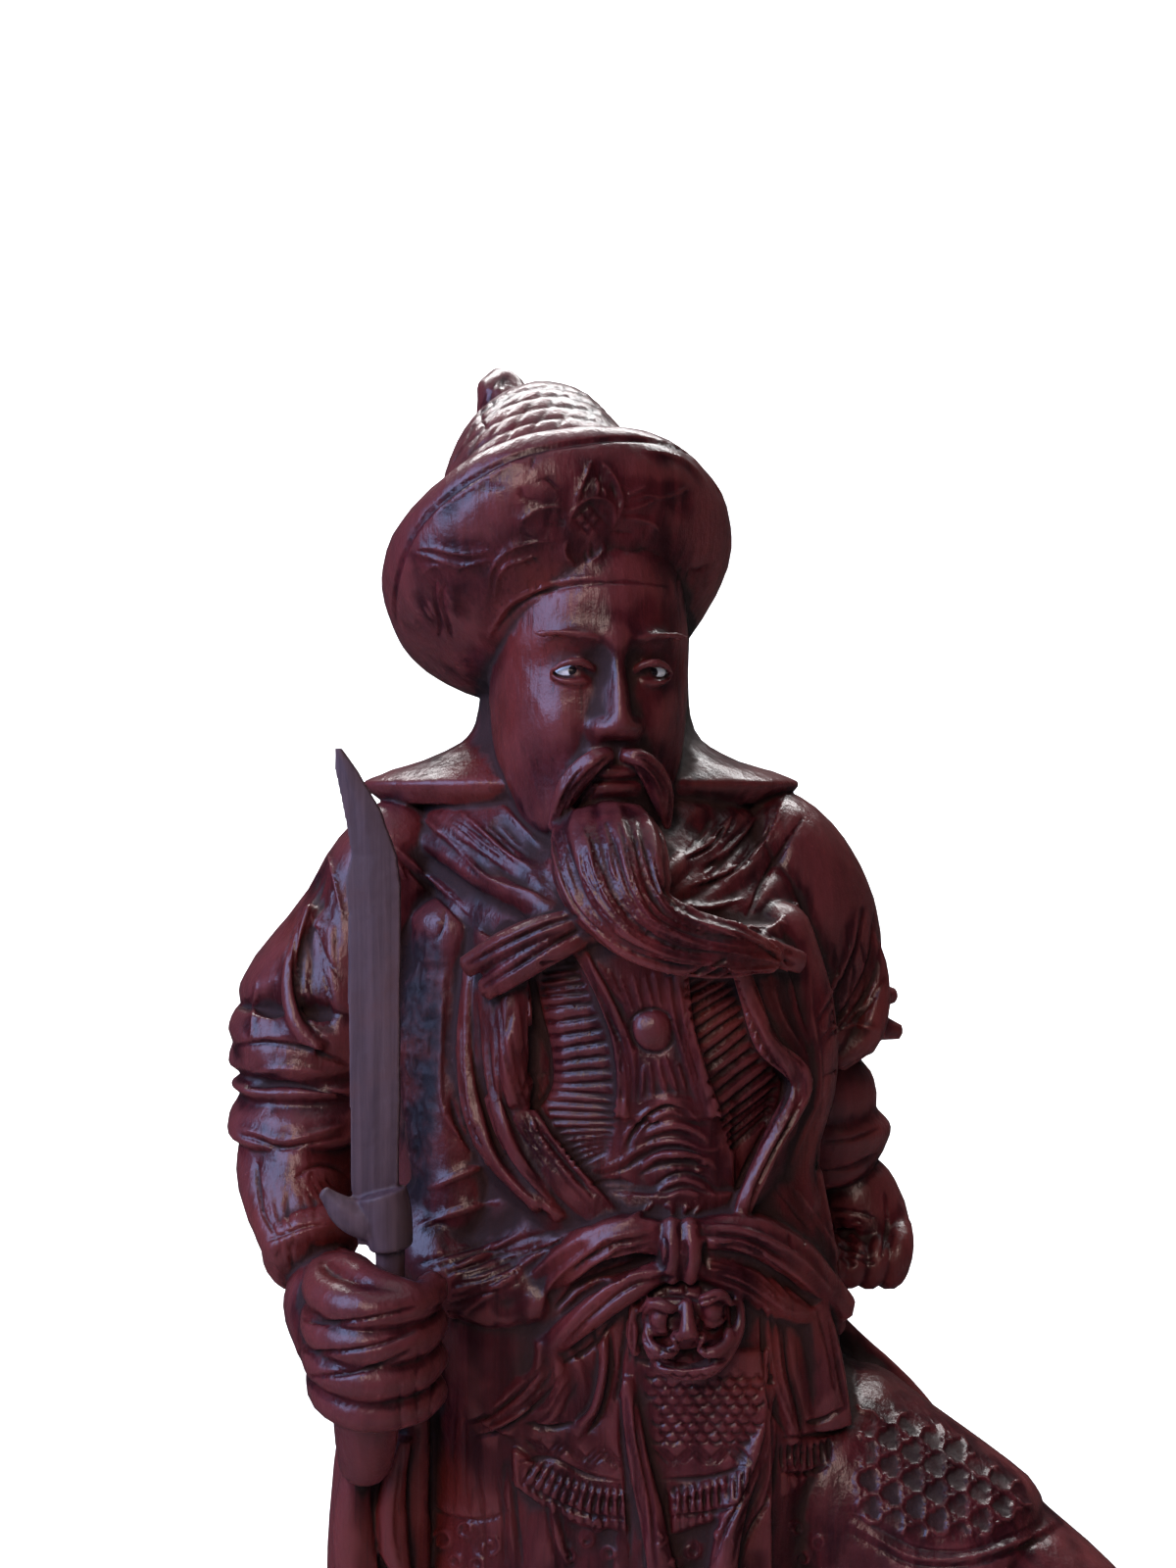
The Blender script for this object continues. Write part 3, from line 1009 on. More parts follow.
LEAVES = [[(528, 534), (540, 525), (556, 518), (581, 517)],
    [(418, 560), (440, 559), (462, 564), (482, 566), (503, 561)],
    [(420, 563), (438, 568), (455, 574), (470, 578), (486, 575), (501, 571)],
    [(572, 551), (545, 554), (522, 560), (509, 570), (501, 585), (498, 606)],
    [(552, 565), (532, 572), (516, 578), (508, 590), (504, 611)],
    [(624, 517), (640, 520), (657, 515), (676, 507), (706, 503)], [(637, 507), (650, 500), (661, 495)],
    [(640, 512), (658, 506), (680, 507), (697, 500), (706, 496)],
    [(628, 529), (650, 530), (666, 535), (673, 542)]]
ridges(3, 0.8, *LEAVES)
LEAF_VEINS = [[(530, 541), (536, 546), (546, 549)], [(526, 502), (538, 509), (555, 512)],
    [(532, 496), (533, 510)], [(544, 493), (556, 488), (563, 493), (570, 500), (578, 503)],
    [(553, 531), (577, 532)], [(554, 536), (577, 537)], [(493, 499), (515, 497)],
    [(541, 478), (546, 462)], [(536, 570), (543, 580)], [(543, 567), (549, 577)],
    [(625, 541), (648, 544)], [(630, 560), (645, 562), (660, 559)],
    [(696, 578), (692, 590), (690, 601)], [(704, 578), (701, 592)],
    [(723, 575), (712, 581), (700, 578)], [(650, 524), (668, 526)]]
cuts(2.4, 0.6, *LEAF_VEINS)
SIDE_SPRIG = [[(447, 587), (443, 600), (446, 620), (449, 640), (447, 651)],
    [(457, 592), (451, 605), (452, 620), (457, 635), (461, 651)]]
cuts(3.2, 0.8, *SIDE_SPRIG)
SIDE_SPRIG_BARS = [[(432, 584), (444, 577), (455, 580)], [(456, 604), (464, 622)],
    [(460, 608), (467, 618)], [(433, 618), (441, 632)], [(436, 612), (445, 628)]]
ridges(2.6, 0.6, *SIDE_SPRIG_BARS)
CROWN_NICKS = [[(497, 440), (490, 425), (496, 400)], [(505, 420), (500, 402), (508, 386)],
    [(520, 408), (512, 395), (518, 382)]]
cuts(2.5, 0.6, *CROWN_NICKS)
carved("hat")

# %% [markdown]
# ### Scarf and coat: folds with crisp crests
# Carved cloth has narrow crests between wide shallow troughs. Broad folds set the troughs and thin
# ridges the crests. The lapels are edged by one deep undercut.

# %% Carve scarf and sleeves
SCARF_TROUGHS = [[(410, 862), (450, 890), (500, 918), (560, 930)], [(450, 850), (490, 880), (540, 900)],
    [(500, 838), (530, 862), (560, 880)], [(716, 885), (750, 872), (775, 845), (782, 822)],
    [(700, 850), (722, 842), (740, 822)], [(705, 920), (745, 912), (785, 885), (803, 850)]]
folds(20, 1.6, *SCARF_TROUGHS)
SCARF_CRESTS = [[(430, 834), (448, 848), (472, 872), (500, 897), (552, 914)],
    [(468, 827), (492, 848), (515, 869), (541, 884)], [(512, 822), (530, 842), (550, 862)],
    [(401, 862), (430, 888), (458, 912), (480, 934)],
    [(800, 816), (790, 840), (771, 868), (745, 888), (705, 904)], [(748, 832), (731, 856), (702, 873)],
    [(778, 822), (762, 848), (742, 868), (712, 884)], [(762, 915), (728, 925), (700, 924)]]
ridges(4.5, 1.1, *SCARF_CRESTS)
SCARF_EDGES = [[(399, 868), (427, 896), (455, 921), (476, 946)],
    [(821, 832), (803, 860), (787, 888), (772, 916), (762, 938)], [(745, 837), (728, 860), (700, 878)],
    [(797, 824), (784, 849), (764, 874), (740, 893), (700, 909)]]
cuts(4, 1.5, *SCARF_EDGES)
SCARF_CREASES = [[(400, 872), (408, 892), (414, 902)], [(410, 880), (418, 898)],
    [(455, 925), (452, 945), (444, 960)]]
cuts(3, 0.9, *SCARF_CREASES)
TAIL_GROOVES = [[(476, 985), (520, 962), (560, 944), (592, 934)],
    [(492, 1008), (530, 985), (566, 962), (594, 948)], [(744, 948), (770, 962), (800, 980), (812, 986)]]
cuts(4, 1.6, *TAIL_GROOVES)
TAIL_CRESTS = [[(484, 975), (520, 955), (570, 934)], [(505, 1006), (545, 978), (588, 953)],
    [(500, 995), (540, 970), (585, 946)], [(740, 938), (775, 950), (806, 972)]]
ridges(3, 0.7, *TAIL_CRESTS)
RIGHT_SLEEVE_TROUGH = [(322, 945), (318, 1000), (335, 1055)]
folds(24, 2.6, RIGHT_SLEEVE_TROUGH)
RIGHT_SLEEVE_EDGE = [(313, 918), (303, 948), (300, 985), (306, 1025), (322, 1052), (338, 1066)]
cuts(3.5, 1.2, RIGHT_SLEEVE_EDGE)
RIGHT_SLEEVE_CREASES = [[(318, 940), (333, 978), (349, 1000)], [(326, 985), (342, 1030)],
    [(330, 1010), (338, 1044)]]
cuts(3, 0.9, *RIGHT_SLEEVE_CREASES)
RIGHT_SLEEVE_CRESTS = [[(334, 866), (342, 900), (350, 940)], [(263, 998), (259, 1030), (256, 1062)]]
ridges(3, 1.0, *RIGHT_SLEEVE_CRESTS)
RIGHT_SLEEVE_HOLLOWS = [[(280, 1000), (275, 1030), (285, 1056)], [(326, 885), (325, 915), (340, 945)]]
folds(16, 1.2, *RIGHT_SLEEVE_HOLLOWS)
HOOP_GROOVES = [[(240, 1067), (270, 1064), (300, 1068), (330, 1077), (357, 1088)],
    [(250, 1109), (285, 1106), (330, 1112), (358, 1123)]]
cuts(4.5, 1.5, *HOOP_GROOVES)
HOOP_CRESTS = [[(256, 1094), (290, 1091), (330, 1096)],
    [(241, 1150), (262, 1156), (286, 1164), (312, 1160), (336, 1153), (352, 1147)]]
ridges(5, 0.9, *HOOP_CRESTS)
PUFF_GROOVES = [[(243, 1158), (262, 1163), (286, 1172), (312, 1168), (352, 1158)],
    [(300, 1203), (320, 1190), (340, 1191), (357, 1201)],
    [(272, 1267), (290, 1259), (314, 1251), (336, 1249)],
    [(262, 1185), (264, 1212), (270, 1242), (283, 1262)]]
cuts(3.5, 1.3, *PUFF_GROOVES)
PUFF_NICKS = [[(318, 1206), (330, 1222)], [(325, 1204), (338, 1218)], [(332, 1202), (346, 1215)],
    [(312, 1212), (322, 1230)], [(300, 1262), (296, 1280), (300, 1296)], [(286, 1268), (281, 1285)]]
cuts(2.6, 0.8, *PUFF_NICKS)
FINGER_GROOVES = [[(303, 1346), (340, 1350), (380, 1345), (426, 1333)],
    [(307, 1379), (345, 1380), (386, 1372), (424, 1357)],
    [(312, 1405), (350, 1402), (392, 1392), (422, 1376)]]
cuts(3.4, 1.4, *FINGER_GROOVES)
carved("scarf and sleeves")

# %% Carve the coat
RIGHT_LAPEL_TROUGH = [(545, 1000), (552, 1050), (557, 1100), (548, 1128)]
folds(22, 2.2, RIGHT_LAPEL_TROUGH)
RIGHT_LAPEL_UNDERCUT = [[(544, 1000), (549, 1040), (556, 1072), (558, 1108), (550, 1126), (534, 1134)],
    [(547, 1148), (566, 1172), (590, 1202), (606, 1222)]]
cuts(5, 2.2, *RIGHT_LAPEL_UNDERCUT)
RIGHT_LAPEL_CRESTS = [[(478, 1020), (481, 1090), (490, 1140), (501, 1175), (522, 1206), (552, 1230),
     (584, 1244)], [(500, 1010), (506, 1095), (516, 1150), (533, 1184), (560, 1214)],
    [(453, 985), (450, 1050), (451, 1128), (470, 1162)],
    [(536, 1138), (560, 1168), (586, 1200), (607, 1227)]]
ridges(5, 1.0, *RIGHT_LAPEL_CRESTS)
RIGHT_LAPEL_GROOVES = [[(486, 1020), (490, 1090), (499, 1140), (512, 1176), (534, 1206), (566, 1232)],
    [(470, 1000), (469, 1090), (476, 1142), (492, 1172)], [(459, 1120), (468, 1150), (482, 1175)]]
cuts(4, 1.8, *RIGHT_LAPEL_GROOVES)
RIGHT_LAPEL_CREASES = [[(537, 1012), (544, 1058), (543, 1092), (534, 1120)],
    [(541, 1085), (537, 1108), (531, 1122)], [(530, 1140), (545, 1168), (568, 1198)],
    [(522, 1030), (516, 1060)]]
cuts(3, 1.0, *RIGHT_LAPEL_CREASES)
RIGHT_LAPEL_SWELL = [(522, 1040), (518, 1085), (524, 1128)]
folds(15, -1.4, RIGHT_LAPEL_SWELL)
LEFT_LAPEL_GROOVES = [[(765, 985), (780, 1022), (800, 1060), (824, 1092)],
    [(822, 1112), (806, 1148), (788, 1182), (772, 1216), (764, 1242)],
    [(742, 985), (756, 1022), (772, 1052), (790, 1086), (803, 1110), (784, 1150), (762, 1190),
     (742, 1234)]]
cuts(4.5, 1.9, *LEFT_LAPEL_GROOVES)
LEFT_LAPEL_CRESTS = [[(784, 990), (797, 1035), (822, 1078)], [(802, 985), (812, 1030), (828, 1072)],
    [(826, 985), (829, 1040), (836, 1082), (834, 1122), (820, 1158), (808, 1190)],
    [(806, 1204), (832, 1242), (854, 1280), (862, 1326)],
    [(812, 1124), (799, 1150), (778, 1186), (757, 1236)]]
ridges(4, 0.9, *LEFT_LAPEL_CRESTS)
LEFT_LAPEL_NICKS = [[(805, 1258), (806, 1270), (809, 1276)], [(821, 1262), (822, 1274)],
    [(790, 1210), (812, 1238), (832, 1262)]]
cuts(2.6, 0.7, *LEFT_LAPEL_NICKS)
LEFT_SLEEVE_GROOVES = [[(882, 925), (874, 968), (856, 1010), (834, 1046)],
    [(893, 925), (886, 985), (862, 1030), (836, 1064)],
    [(900, 960), (890, 1002), (868, 1036), (840, 1066)], [(904, 996), (884, 1028), (862, 1048)],
    [(838, 1098), (864, 1090), (890, 1074)], [(836, 1166), (868, 1163), (900, 1150)],
    [(836, 1196), (868, 1191), (897, 1176)]]
cuts(3.4, 1.1, *LEFT_SLEEVE_GROOVES)
LEFT_SLEEVE_CRESTS = [[(876, 925), (868, 968), (851, 1006), (832, 1040)],
    [(838, 1052), (868, 1046), (902, 1052)]]
ridges(3.6, 0.9, *LEFT_SLEEVE_CRESTS)
CUFF_CREASES = [[(846, 1243), (866, 1252), (882, 1253)], [(850, 1256), (868, 1264), (880, 1266)],
    [(852, 1268), (866, 1275), (876, 1276)], [(852, 1284), (866, 1280)],
    [(846, 1232), (872, 1236), (895, 1244)], [(902, 1216), (905, 1250), (898, 1290)]]
cuts(2.8, 0.9, *CUFF_CREASES)
carved("coat")

# %% [markdown]
# ### Breastplate: ribs, waisted panel and arches
# The ribs are grooves between two guide lines that follow the coat's edges. The grooves wander a
# little, as a hand does, and the random wander is seeded so that it is the same every time.

# %% Carve the breastplate
hand = np.random.default_rng(7)


def ribs(left, right, count, lean, width=3.4, depth=1.35):
    """Grooves between two guide lines: groove k runs from the left line to the right one at
    share k / count of both, rising by the lean."""
    t = np.linspace(0, 1, count)
    a, b = curve(left, t), curve(right, t)
    for start, end in zip(a, b):
        sway = hand.normal(0, 0.9, 2)
        mid = (start + end) / 2 + (0, lean * 0.5 + sway[0])
        stroke([start + hand.normal(0, 1.2, 2) * (1, 0.4), mid, end + (0, lean + sway[1])], width, depth,
               point=0.6, ends=0.08)


def locks(left, right, count, width=2.6, depth=1.1, wander=1.2):
    """Crisp strands between two guide lines: each runs beside them at its own share of the width,
    with its own start, end and small wander."""
    t = np.linspace(0, 1, 8)
    a, b = curve(left, t), curve(right, t)
    for k in range(count):
        share = (k + 0.5 + hand.uniform(-0.25, 0.25)) / count
        line = a + (b - a) * share + hand.normal(0, wander, (8, 2))
        first, last = hand.integers(0, 3), hand.integers(5, 9)
        stroke(line[first:last], width, depth * hand.uniform(0.6, 1.3), point=0.7, ends=0.25)


RIGHT_RIBS = [[(551, 984), (550, 1020), (552, 1080), (553, 1120), (566, 1160), (584, 1190)],
    [(588, 984), (601, 1018), (621, 1072), (629, 1128), (627, 1160), (622, 1178)]]
ribs(*RIGHT_RIBS, 22, -3)
LEFT_RIBS = [[(697, 1000), (705, 1040), (721, 1092), (735, 1146), (746, 1174)],
    [(744, 990), (756, 1022), (774, 1062), (796, 1112), (786, 1150)]]
ribs(*LEFT_RIBS, 17, -12, width=4.2, depth=1.9)
PANEL_CRESTS = [[(597, 966), (604, 986), (616, 1008), (630, 1036), (642, 1064), (647, 1092),
     (648, 1132)], [(681, 980), (683, 1010), (689, 1046), (698, 1076), (706, 1102), (717, 1136)]]
ridges(4, 1.1, *PANEL_CRESTS)
PANEL_GROOVES = [[(590, 970), (598, 992), (610, 1014), (623, 1042), (635, 1068), (640, 1094),
     (641, 1132)], [(690, 1000), (696, 1044), (705, 1074), (713, 1100), (724, 1134)]]
cuts(3, 1.0, *PANEL_GROOVES)
PANEL_BARS = [((608, 978), (636, 1026)), ((620, 988), (642, 1034)), ((632, 994), (646, 1034)),
    ((645, 993), (655, 1032)), ((656, 988), (667, 1034)), ((666, 984), (674, 1030)),
    ((657, 1084), (655, 1122)), ((662, 1082), (667, 1122)), ((670, 1078), (680, 1119)),
    ((679, 1078), (692, 1118)), ((690, 1083), (700, 1116))]
for top, low in PANEL_BARS:
    ridges(3, 1.0, [top, low])
BOSS_RING = [(686, 1050), (684, 1038), (674, 1030), (660, 1030), (646, 1038), (643, 1052), (648, 1066),
    (660, 1074), (676, 1073), (686, 1062), (686, 1050)]
cuts(3.4, 1.3, BOSS_RING)
ARCH_CRESTS = [[(632, 1180), (640, 1156), (655, 1138), (680, 1123), (700, 1131), (716, 1147)],
    [(643, 1178), (652, 1157), (668, 1141), (684, 1134), (700, 1141)],
    [(602, 1196), (630, 1186), (655, 1171), (676, 1165), (697, 1166), (716, 1173), (734, 1174)],
    [(655, 1191), (670, 1180), (692, 1178), (716, 1180)],
    [(668, 1221), (680, 1209), (700, 1204), (716, 1211), (729, 1220)],
    [(640, 1246), (655, 1238), (668, 1226)], [(680, 1222), (695, 1217), (714, 1219)]]
ridges(4.5, 1.2, *ARCH_CRESTS)
ARCH_GROOVES = [[(606, 1202), (636, 1193), (656, 1181), (676, 1172), (700, 1172), (722, 1180)],
    [(638, 1172), (650, 1149), (668, 1134), (684, 1129)],
    [(664, 1214), (680, 1202), (700, 1197), (718, 1203), (732, 1213)],
    [(650, 1200), (672, 1190), (700, 1188), (724, 1192)], [(598, 1210), (625, 1205), (648, 1208)]]
cuts(3.6, 1.2, *ARCH_GROOVES)
CURLS = [[(688, 1200), (687, 1191), (692, 1187), (694, 1194)],
    [(708, 1198), (713, 1194), (719, 1187), (718, 1193)],
    [(678, 1232), (683, 1229), (686, 1236), (684, 1244)], [(697, 1243), (700, 1231), (704, 1235)],
    [(706, 1243), (712, 1234), (716, 1231)]]
ridges(3, 1.0, *CURLS)
carved("breastplate")

# %% [markdown]
# ### Hair and cloth strands
# Beard and moustache are cut in crisp strands with a small V tool. No two strands start or end at
# the same place, which is what keeps carved hair from looking combed by a machine.

# %% Carve strands
BEARD_GUIDES = [[(556, 838), (566, 870), (576, 905), (603, 946), (650, 976), (715, 990), (800, 986)],
    [(660, 838), (668, 868), (675, 896), (694, 928), (742, 950), (815, 970)]]
locks(*BEARD_GUIDES, 26, width=2.8, depth=1.3)
RIGHT_TUFT = [[(618, 766), (583, 794), (565, 843)], [(625, 780), (597, 822), (579, 843)]]
locks(*RIGHT_TUFT, 5, depth=1.0, wander=0.4)
LEFT_TUFT = [[(635, 766), (667, 773), (691, 808), (685, 843)], [(635, 780), (660, 801), (674, 843)]]
locks(*LEFT_TUFT, 5, depth=1.0, wander=0.4)
CLOTH_STRANDS = [
    ([(664, 1254), (612, 1272), (566, 1318)], [(668, 1292), (622, 1312), (580, 1360)], 8, 0.8),
    ([(716, 1262), (770, 1272), (850, 1330)], [(716, 1296), (760, 1308), (800, 1345)], 8, 0.8),
    ([(560, 1385), (530, 1420), (480, 1450)], [(600, 1390), (570, 1450), (520, 1462)], 6, 0.6),
    ([(636, 1420), (640, 1480), (650, 1540), (655, 1600)],
     [(652, 1420), (656, 1480), (664, 1540), (668, 1600)], 3, 0.8),
    ([(784, 1430), (780, 1480), (750, 1550), (732, 1600)],
     [(794, 1440), (790, 1490), (765, 1550), (748, 1600)], 3, 0.8),
    ([(496, 1000), (500, 1060), (514, 1130), (550, 1190), (590, 1235)],
     [(530, 1000), (538, 1060), (552, 1120), (586, 1180), (626, 1225)], 7, 0.6),
    ([(745, 1000), (770, 1050), (800, 1105), (770, 1160), (740, 1235)],
     [(770, 1000), (795, 1050), (824, 1100), (805, 1160), (768, 1235)], 6, 0.6),
    ([(330, 880), (300, 940), (290, 1000), (310, 1060)],
     [(362, 880), (348, 940), (348, 1000), (352, 1060)], 6, 0.7),
    ([(840, 950), (850, 1000), (840, 1060)], [(890, 940), (896, 1000), (880, 1060)], 5, 0.6),
    ([(430, 836), (480, 870), (560, 920)], [(500, 820), (530, 850), (572, 890)], 6, 0.7),
    ([(805, 820), (770, 880), (710, 925)], [(730, 820), (712, 850), (690, 880)], 7, 0.7),
    ([(846, 1232), (870, 1236), (900, 1250)], [(850, 1285), (872, 1292), (905, 1300)], 8, 0.9),
    ([(420, 1290), (500, 1262), (580, 1240)], [(430, 1345), (500, 1325), (570, 1290)], 7, 0.7),
    ([(405, 1330), (400, 1450), (402, 1600)], [(520, 1480), (520, 1540), (530, 1600)], 7, 0.5),
    ([(256, 1180), (262, 1230), (282, 1290)], [(340, 1180), (344, 1230), (350, 1290)], 6, 0.5)]
for left, right, count, depth in CLOTH_STRANDS:
    locks(left, right, count, width=3.0, depth=depth)
carved("strands")

# %% [markdown]
# ### Belt, bow and skirt
# The bow's loops are hollow bands with dark openings. Lower down come chevrons, the fringe, the scales
# of the apron, the lines of the mask, and small clouds of swirls on a smooth panel.

# %% Carve bow and skirt
BOW_OPENING = [[(566, 1336), (590, 1312), (640, 1292), (668, 1284)],
    [(572, 1342), (600, 1318), (642, 1300)]]
cuts(5, 2.2, *BOW_OPENING)
BOW_CRESTS = [[(668, 1254), (622, 1264), (582, 1291), (560, 1314), (549, 1340)],
    [(662, 1272), (612, 1284), (577, 1312)], [(690, 1297), (642, 1303), (602, 1330), (566, 1368)],
    [(716, 1266), (760, 1272), (802, 1293), (842, 1328)], [(720, 1292), (760, 1304), (798, 1328)],
    [(704, 1251), (760, 1256), (812, 1281), (852, 1320)]]
ridges(5, 1.2, *BOW_CRESTS)
BOW_GROOVES = [[(664, 1262), (618, 1274), (582, 1300)],
    [(690, 1304), (646, 1312), (608, 1340), (575, 1374)],
    [(716, 1276), (758, 1284), (800, 1306), (838, 1340)], [(722, 1300), (760, 1314), (800, 1342)],
    [(712, 1260), (760, 1264), (806, 1287)]]
cuts(4, 1.6, *BOW_GROOVES)
KNOT_GROOVES = [[(699, 1266), (700, 1280), (699, 1298)], [(678, 1262), (680, 1280), (677, 1296)],
    [(721, 1264), (720, 1280), (722, 1296)]]
cuts(3.5, 1.6, *KNOT_GROOVES)
BELT_TROUGHS = [[(500, 1350), (545, 1310), (600, 1272)], [(450, 1275), (490, 1258), (530, 1238)],
    [(455, 1345), (500, 1330), (540, 1345)]]
folds(24, 1.8, *BELT_TROUGHS)
BELT_CRESTS = [[(470, 1346), (520, 1302), (572, 1264), (604, 1252)],
    [(424, 1252), (462, 1238), (512, 1224)], [(432, 1214), (470, 1199), (500, 1186)],
    [(450, 1310), (482, 1286), (536, 1256)]]
ridges(6, 1.2, *BELT_CRESTS)
RIBBON_EDGES = [[(572, 1402), (552, 1430), (520, 1456), (482, 1468)],
    [(556, 1392), (530, 1420), (500, 1444), (478, 1452)], [(632, 1342), (602, 1376), (574, 1392)],
    [(622, 1352), (624, 1400), (612, 1446), (598, 1466)],
    [(606, 1352), (607, 1400), (598, 1436), (586, 1450)], [(640, 1338), (633, 1398), (628, 1432)],
    [(586, 1452), (560, 1458), (536, 1452)]]
cuts(4, 1.8, *RIBBON_EDGES)
RIBBON_CREASES = [[(566, 1396), (546, 1424), (510, 1452)], [(644, 1345), (645, 1370), (641, 1394)],
    [(657, 1345), (652, 1370), (648, 1396)]]
cuts(2.8, 1.0, *RIBBON_CREASES)
RIBBON_RIDGE = [(615, 1352), (616, 1396), (606, 1438), (592, 1456)]
ridges(3.6, 1.4, RIBBON_RIDGE)
RIBBON_CRESTS = [[(564, 1404), (545, 1430), (508, 1456), (486, 1464)],
    [(782, 1322), (786, 1380), (798, 1430), (812, 1464)], [(790, 1340), (796, 1400), (808, 1446)]]
ridges(4, 1.1, *RIBBON_CRESTS)
SIDE_RIBBON_EDGES = [[(777, 1330), (780, 1390), (790, 1440), (803, 1466)],
    [(800, 1350), (806, 1400), (818, 1446), (820, 1464)], [(822, 1452), (842, 1448), (862, 1436)]]
cuts(4, 1.7, *SIDE_RIBBON_EDGES)
SIDE_RIBBON_CREASES = [[(846, 1345), (856, 1400), (864, 1440)], [(832, 1330), (846, 1380), (852, 1420)]]
cuts(3, 1.0, *SIDE_RIBBON_CREASES)


def hatch(left, right, height, count, depth=1.0):
    """Chevron band: groups of three slanted grooves that lean in turn to either side."""
    left, right = np.array(left, float), np.array(right, float)
    for k in range(count):
        lean = 1 if k % 2 else -1
        for line in range(3):
            foot = left + (right - left) * (k + (line + 0.5) / 3) / count
            cuts(2.3, depth, [foot + (lean * 0.5 * height, 0), foot + (-lean * 0.5 * height, height)])


def fringe_cuts(left, sag, right, count, high, lean):
    """Grooves between the bars of a fringe, upright or leaning like the bars."""
    t = np.linspace(0, 1, count + 1)
    x = left[0] + (right[0] - left[0]) * t
    y = left[1] + (right[1] - left[1]) * t + sag * np.sin(np.pi * t)
    for a, b, share in zip(x, y, t):
        cuts(2.4, 1.7,
             [(a + lean * (1 - share) * 9, b - high / 2), (a - lean * (1 - share) * 9, b + high / 2)])


CHEVRONS = [((540, 1466), (636, 1482)), ((672, 1478), (762, 1474))]
FRINGES = [((541, 1502), 8, (640, 1532), 12, 30, 1.0), ((680, 1532), 3, (766, 1512), 11, 30, 0.0),
    ((798, 1486), 2, (846, 1480), 7, 26, 0.0)]
for left, right in CHEVRONS:
    hatch(left, right, 20, 5)
for left, sag, right, count, high, lean in FRINGES:
    fringe_cuts(left, sag, right, count, high, lean)

SKIRT_BORDERS = [[(534, 1514), (560, 1530), (600, 1546), (642, 1550)],
    [(528, 1492), (560, 1488), (600, 1506), (640, 1512)], [(676, 1510), (720, 1508), (768, 1494)],
    [(680, 1548), (724, 1544), (768, 1530)], [(796, 1502), (820, 1504), (848, 1494)],
    [(796, 1468), (822, 1466), (850, 1462)]]
cuts(3.4, 1.3, *SKIRT_BORDERS)
SCALES = dict(rows=8, columns=9, start=(665, 1402), wide=14.5, high=9.4, ends=(650, 790))
for row in range(SCALES["rows"]):
    for column in range(SCALES["columns"]):
        x = SCALES["start"][0] + SCALES["wide"] * column + 7.2 * (row % 2)
        y = SCALES["start"][1] + SCALES["high"] * row + 0.04 * (column - 4) ** 2
        left_end, right_end = SCALES["ends"][0] + 2.0 * row, SCALES["ends"][1] - 1.6 * row
        if left_end < x - 7 and x + 7 < right_end:
            cuts(2.5, 1.1 + 0.35 * hand.random(),
                 [(x - 7, y - 2), (x - 5, y + 3.5), (x, y + 5.5), (x + 5, y + 3.5), (x + 7, y - 2)])
MASK_JAW = [(650, 1388), (675, 1392), (705, 1392), (745, 1388)]
cuts(5, 2.6, MASK_JAW)
MASK_LINES = [[(660, 1330), (652, 1345), (655, 1362), (664, 1376)],
    [(690, 1336), (683, 1348), (686, 1364), (694, 1372)],
    [(708, 1338), (716, 1352), (714, 1366), (706, 1374)], [(738, 1336), (742, 1350), (738, 1360)],
    [(672, 1374), (690, 1380), (712, 1378), (728, 1368)],
    [(660, 1326), (690, 1322), (715, 1328), (735, 1322)], [(668, 1360), (676, 1364), (684, 1360)],
    [(716, 1356), (726, 1360), (734, 1354)]]
cuts(3, 1.5, *MASK_LINES)
MASK_NICKS = [[(672, 1384), (676, 1376)], [(690, 1388), (692, 1380)], [(708, 1388), (708, 1380)],
    [(722, 1382), (720, 1374)], [(664, 1318), (668, 1328)], [(680, 1314), (682, 1324)],
    [(700, 1312), (699, 1322)], [(718, 1312), (716, 1322)]]
cuts(2.4, 1.0, *MASK_NICKS)
APRON_EDGES = [[(632, 1424), (634, 1470), (640, 1530), (644, 1600)],
    [(648, 1420), (652, 1470), (664, 1530), (669, 1600)],
    [(786, 1426), (782, 1470), (764, 1520), (740, 1560), (726, 1600)],
    [(794, 1440), (794, 1480), (784, 1530), (764, 1566), (754, 1600)]]
cuts(4, 1.6, *APRON_EDGES)
APRON_SEAMS = [[(641, 1436), (648, 1490), (656, 1550), (658, 1600)],
    [(788, 1456), (784, 1494), (768, 1536), (746, 1580)]]
cuts(2.4, 0.8, *APRON_SEAMS)


def swirl(x, y, size, turns=1.4, start=0.0, rise=0.9):
    """Ridge along a spiral: the radius shrinks evenly with the angle."""
    k = np.linspace(0, 1, 11)
    a = start + TURN * turns * k
    r = size * (1 - 0.8 * k)
    ridges(2.8, rise, np.stack([x + r * np.cos(a), y + r * np.sin(a)], -1))


CLOUDS = [(452, 1572, 13), (476, 1560, 11), (500, 1578, 12), (466, 1592, 10), (488, 1596, 9),
    (598, 1572, 9), (622, 1586, 9), (580, 1588, 8), (610, 1556, 7), (672, 1570, 9), (706, 1582, 10),
    (736, 1566, 8), (690, 1594, 8), (812, 1560, 9), (836, 1574, 9), (820, 1590, 9)]
for x, y, size in CLOUDS:
    swirl(x, y, size, start=x * 0.7)
SKIRT_GROOVES = [[(430, 1530), (460, 1548), (500, 1550), (520, 1540)],
    [(505, 1500), (512, 1540), (516, 1600)], [(524, 1500), (528, 1550), (534, 1600)],
    [(556, 1530), (562, 1566), (572, 1600)], [(570, 1530), (576, 1566), (586, 1600)]]
cuts(3, 0.9, *SKIRT_GROOVES)
SKIRT_CRESTS = [[(518, 1500), (521, 1550), (526, 1600)], [(563, 1530), (569, 1566), (579, 1600)]]
ridges(3.4, 0.9, *SKIRT_CRESTS)
carved("bow and skirt")

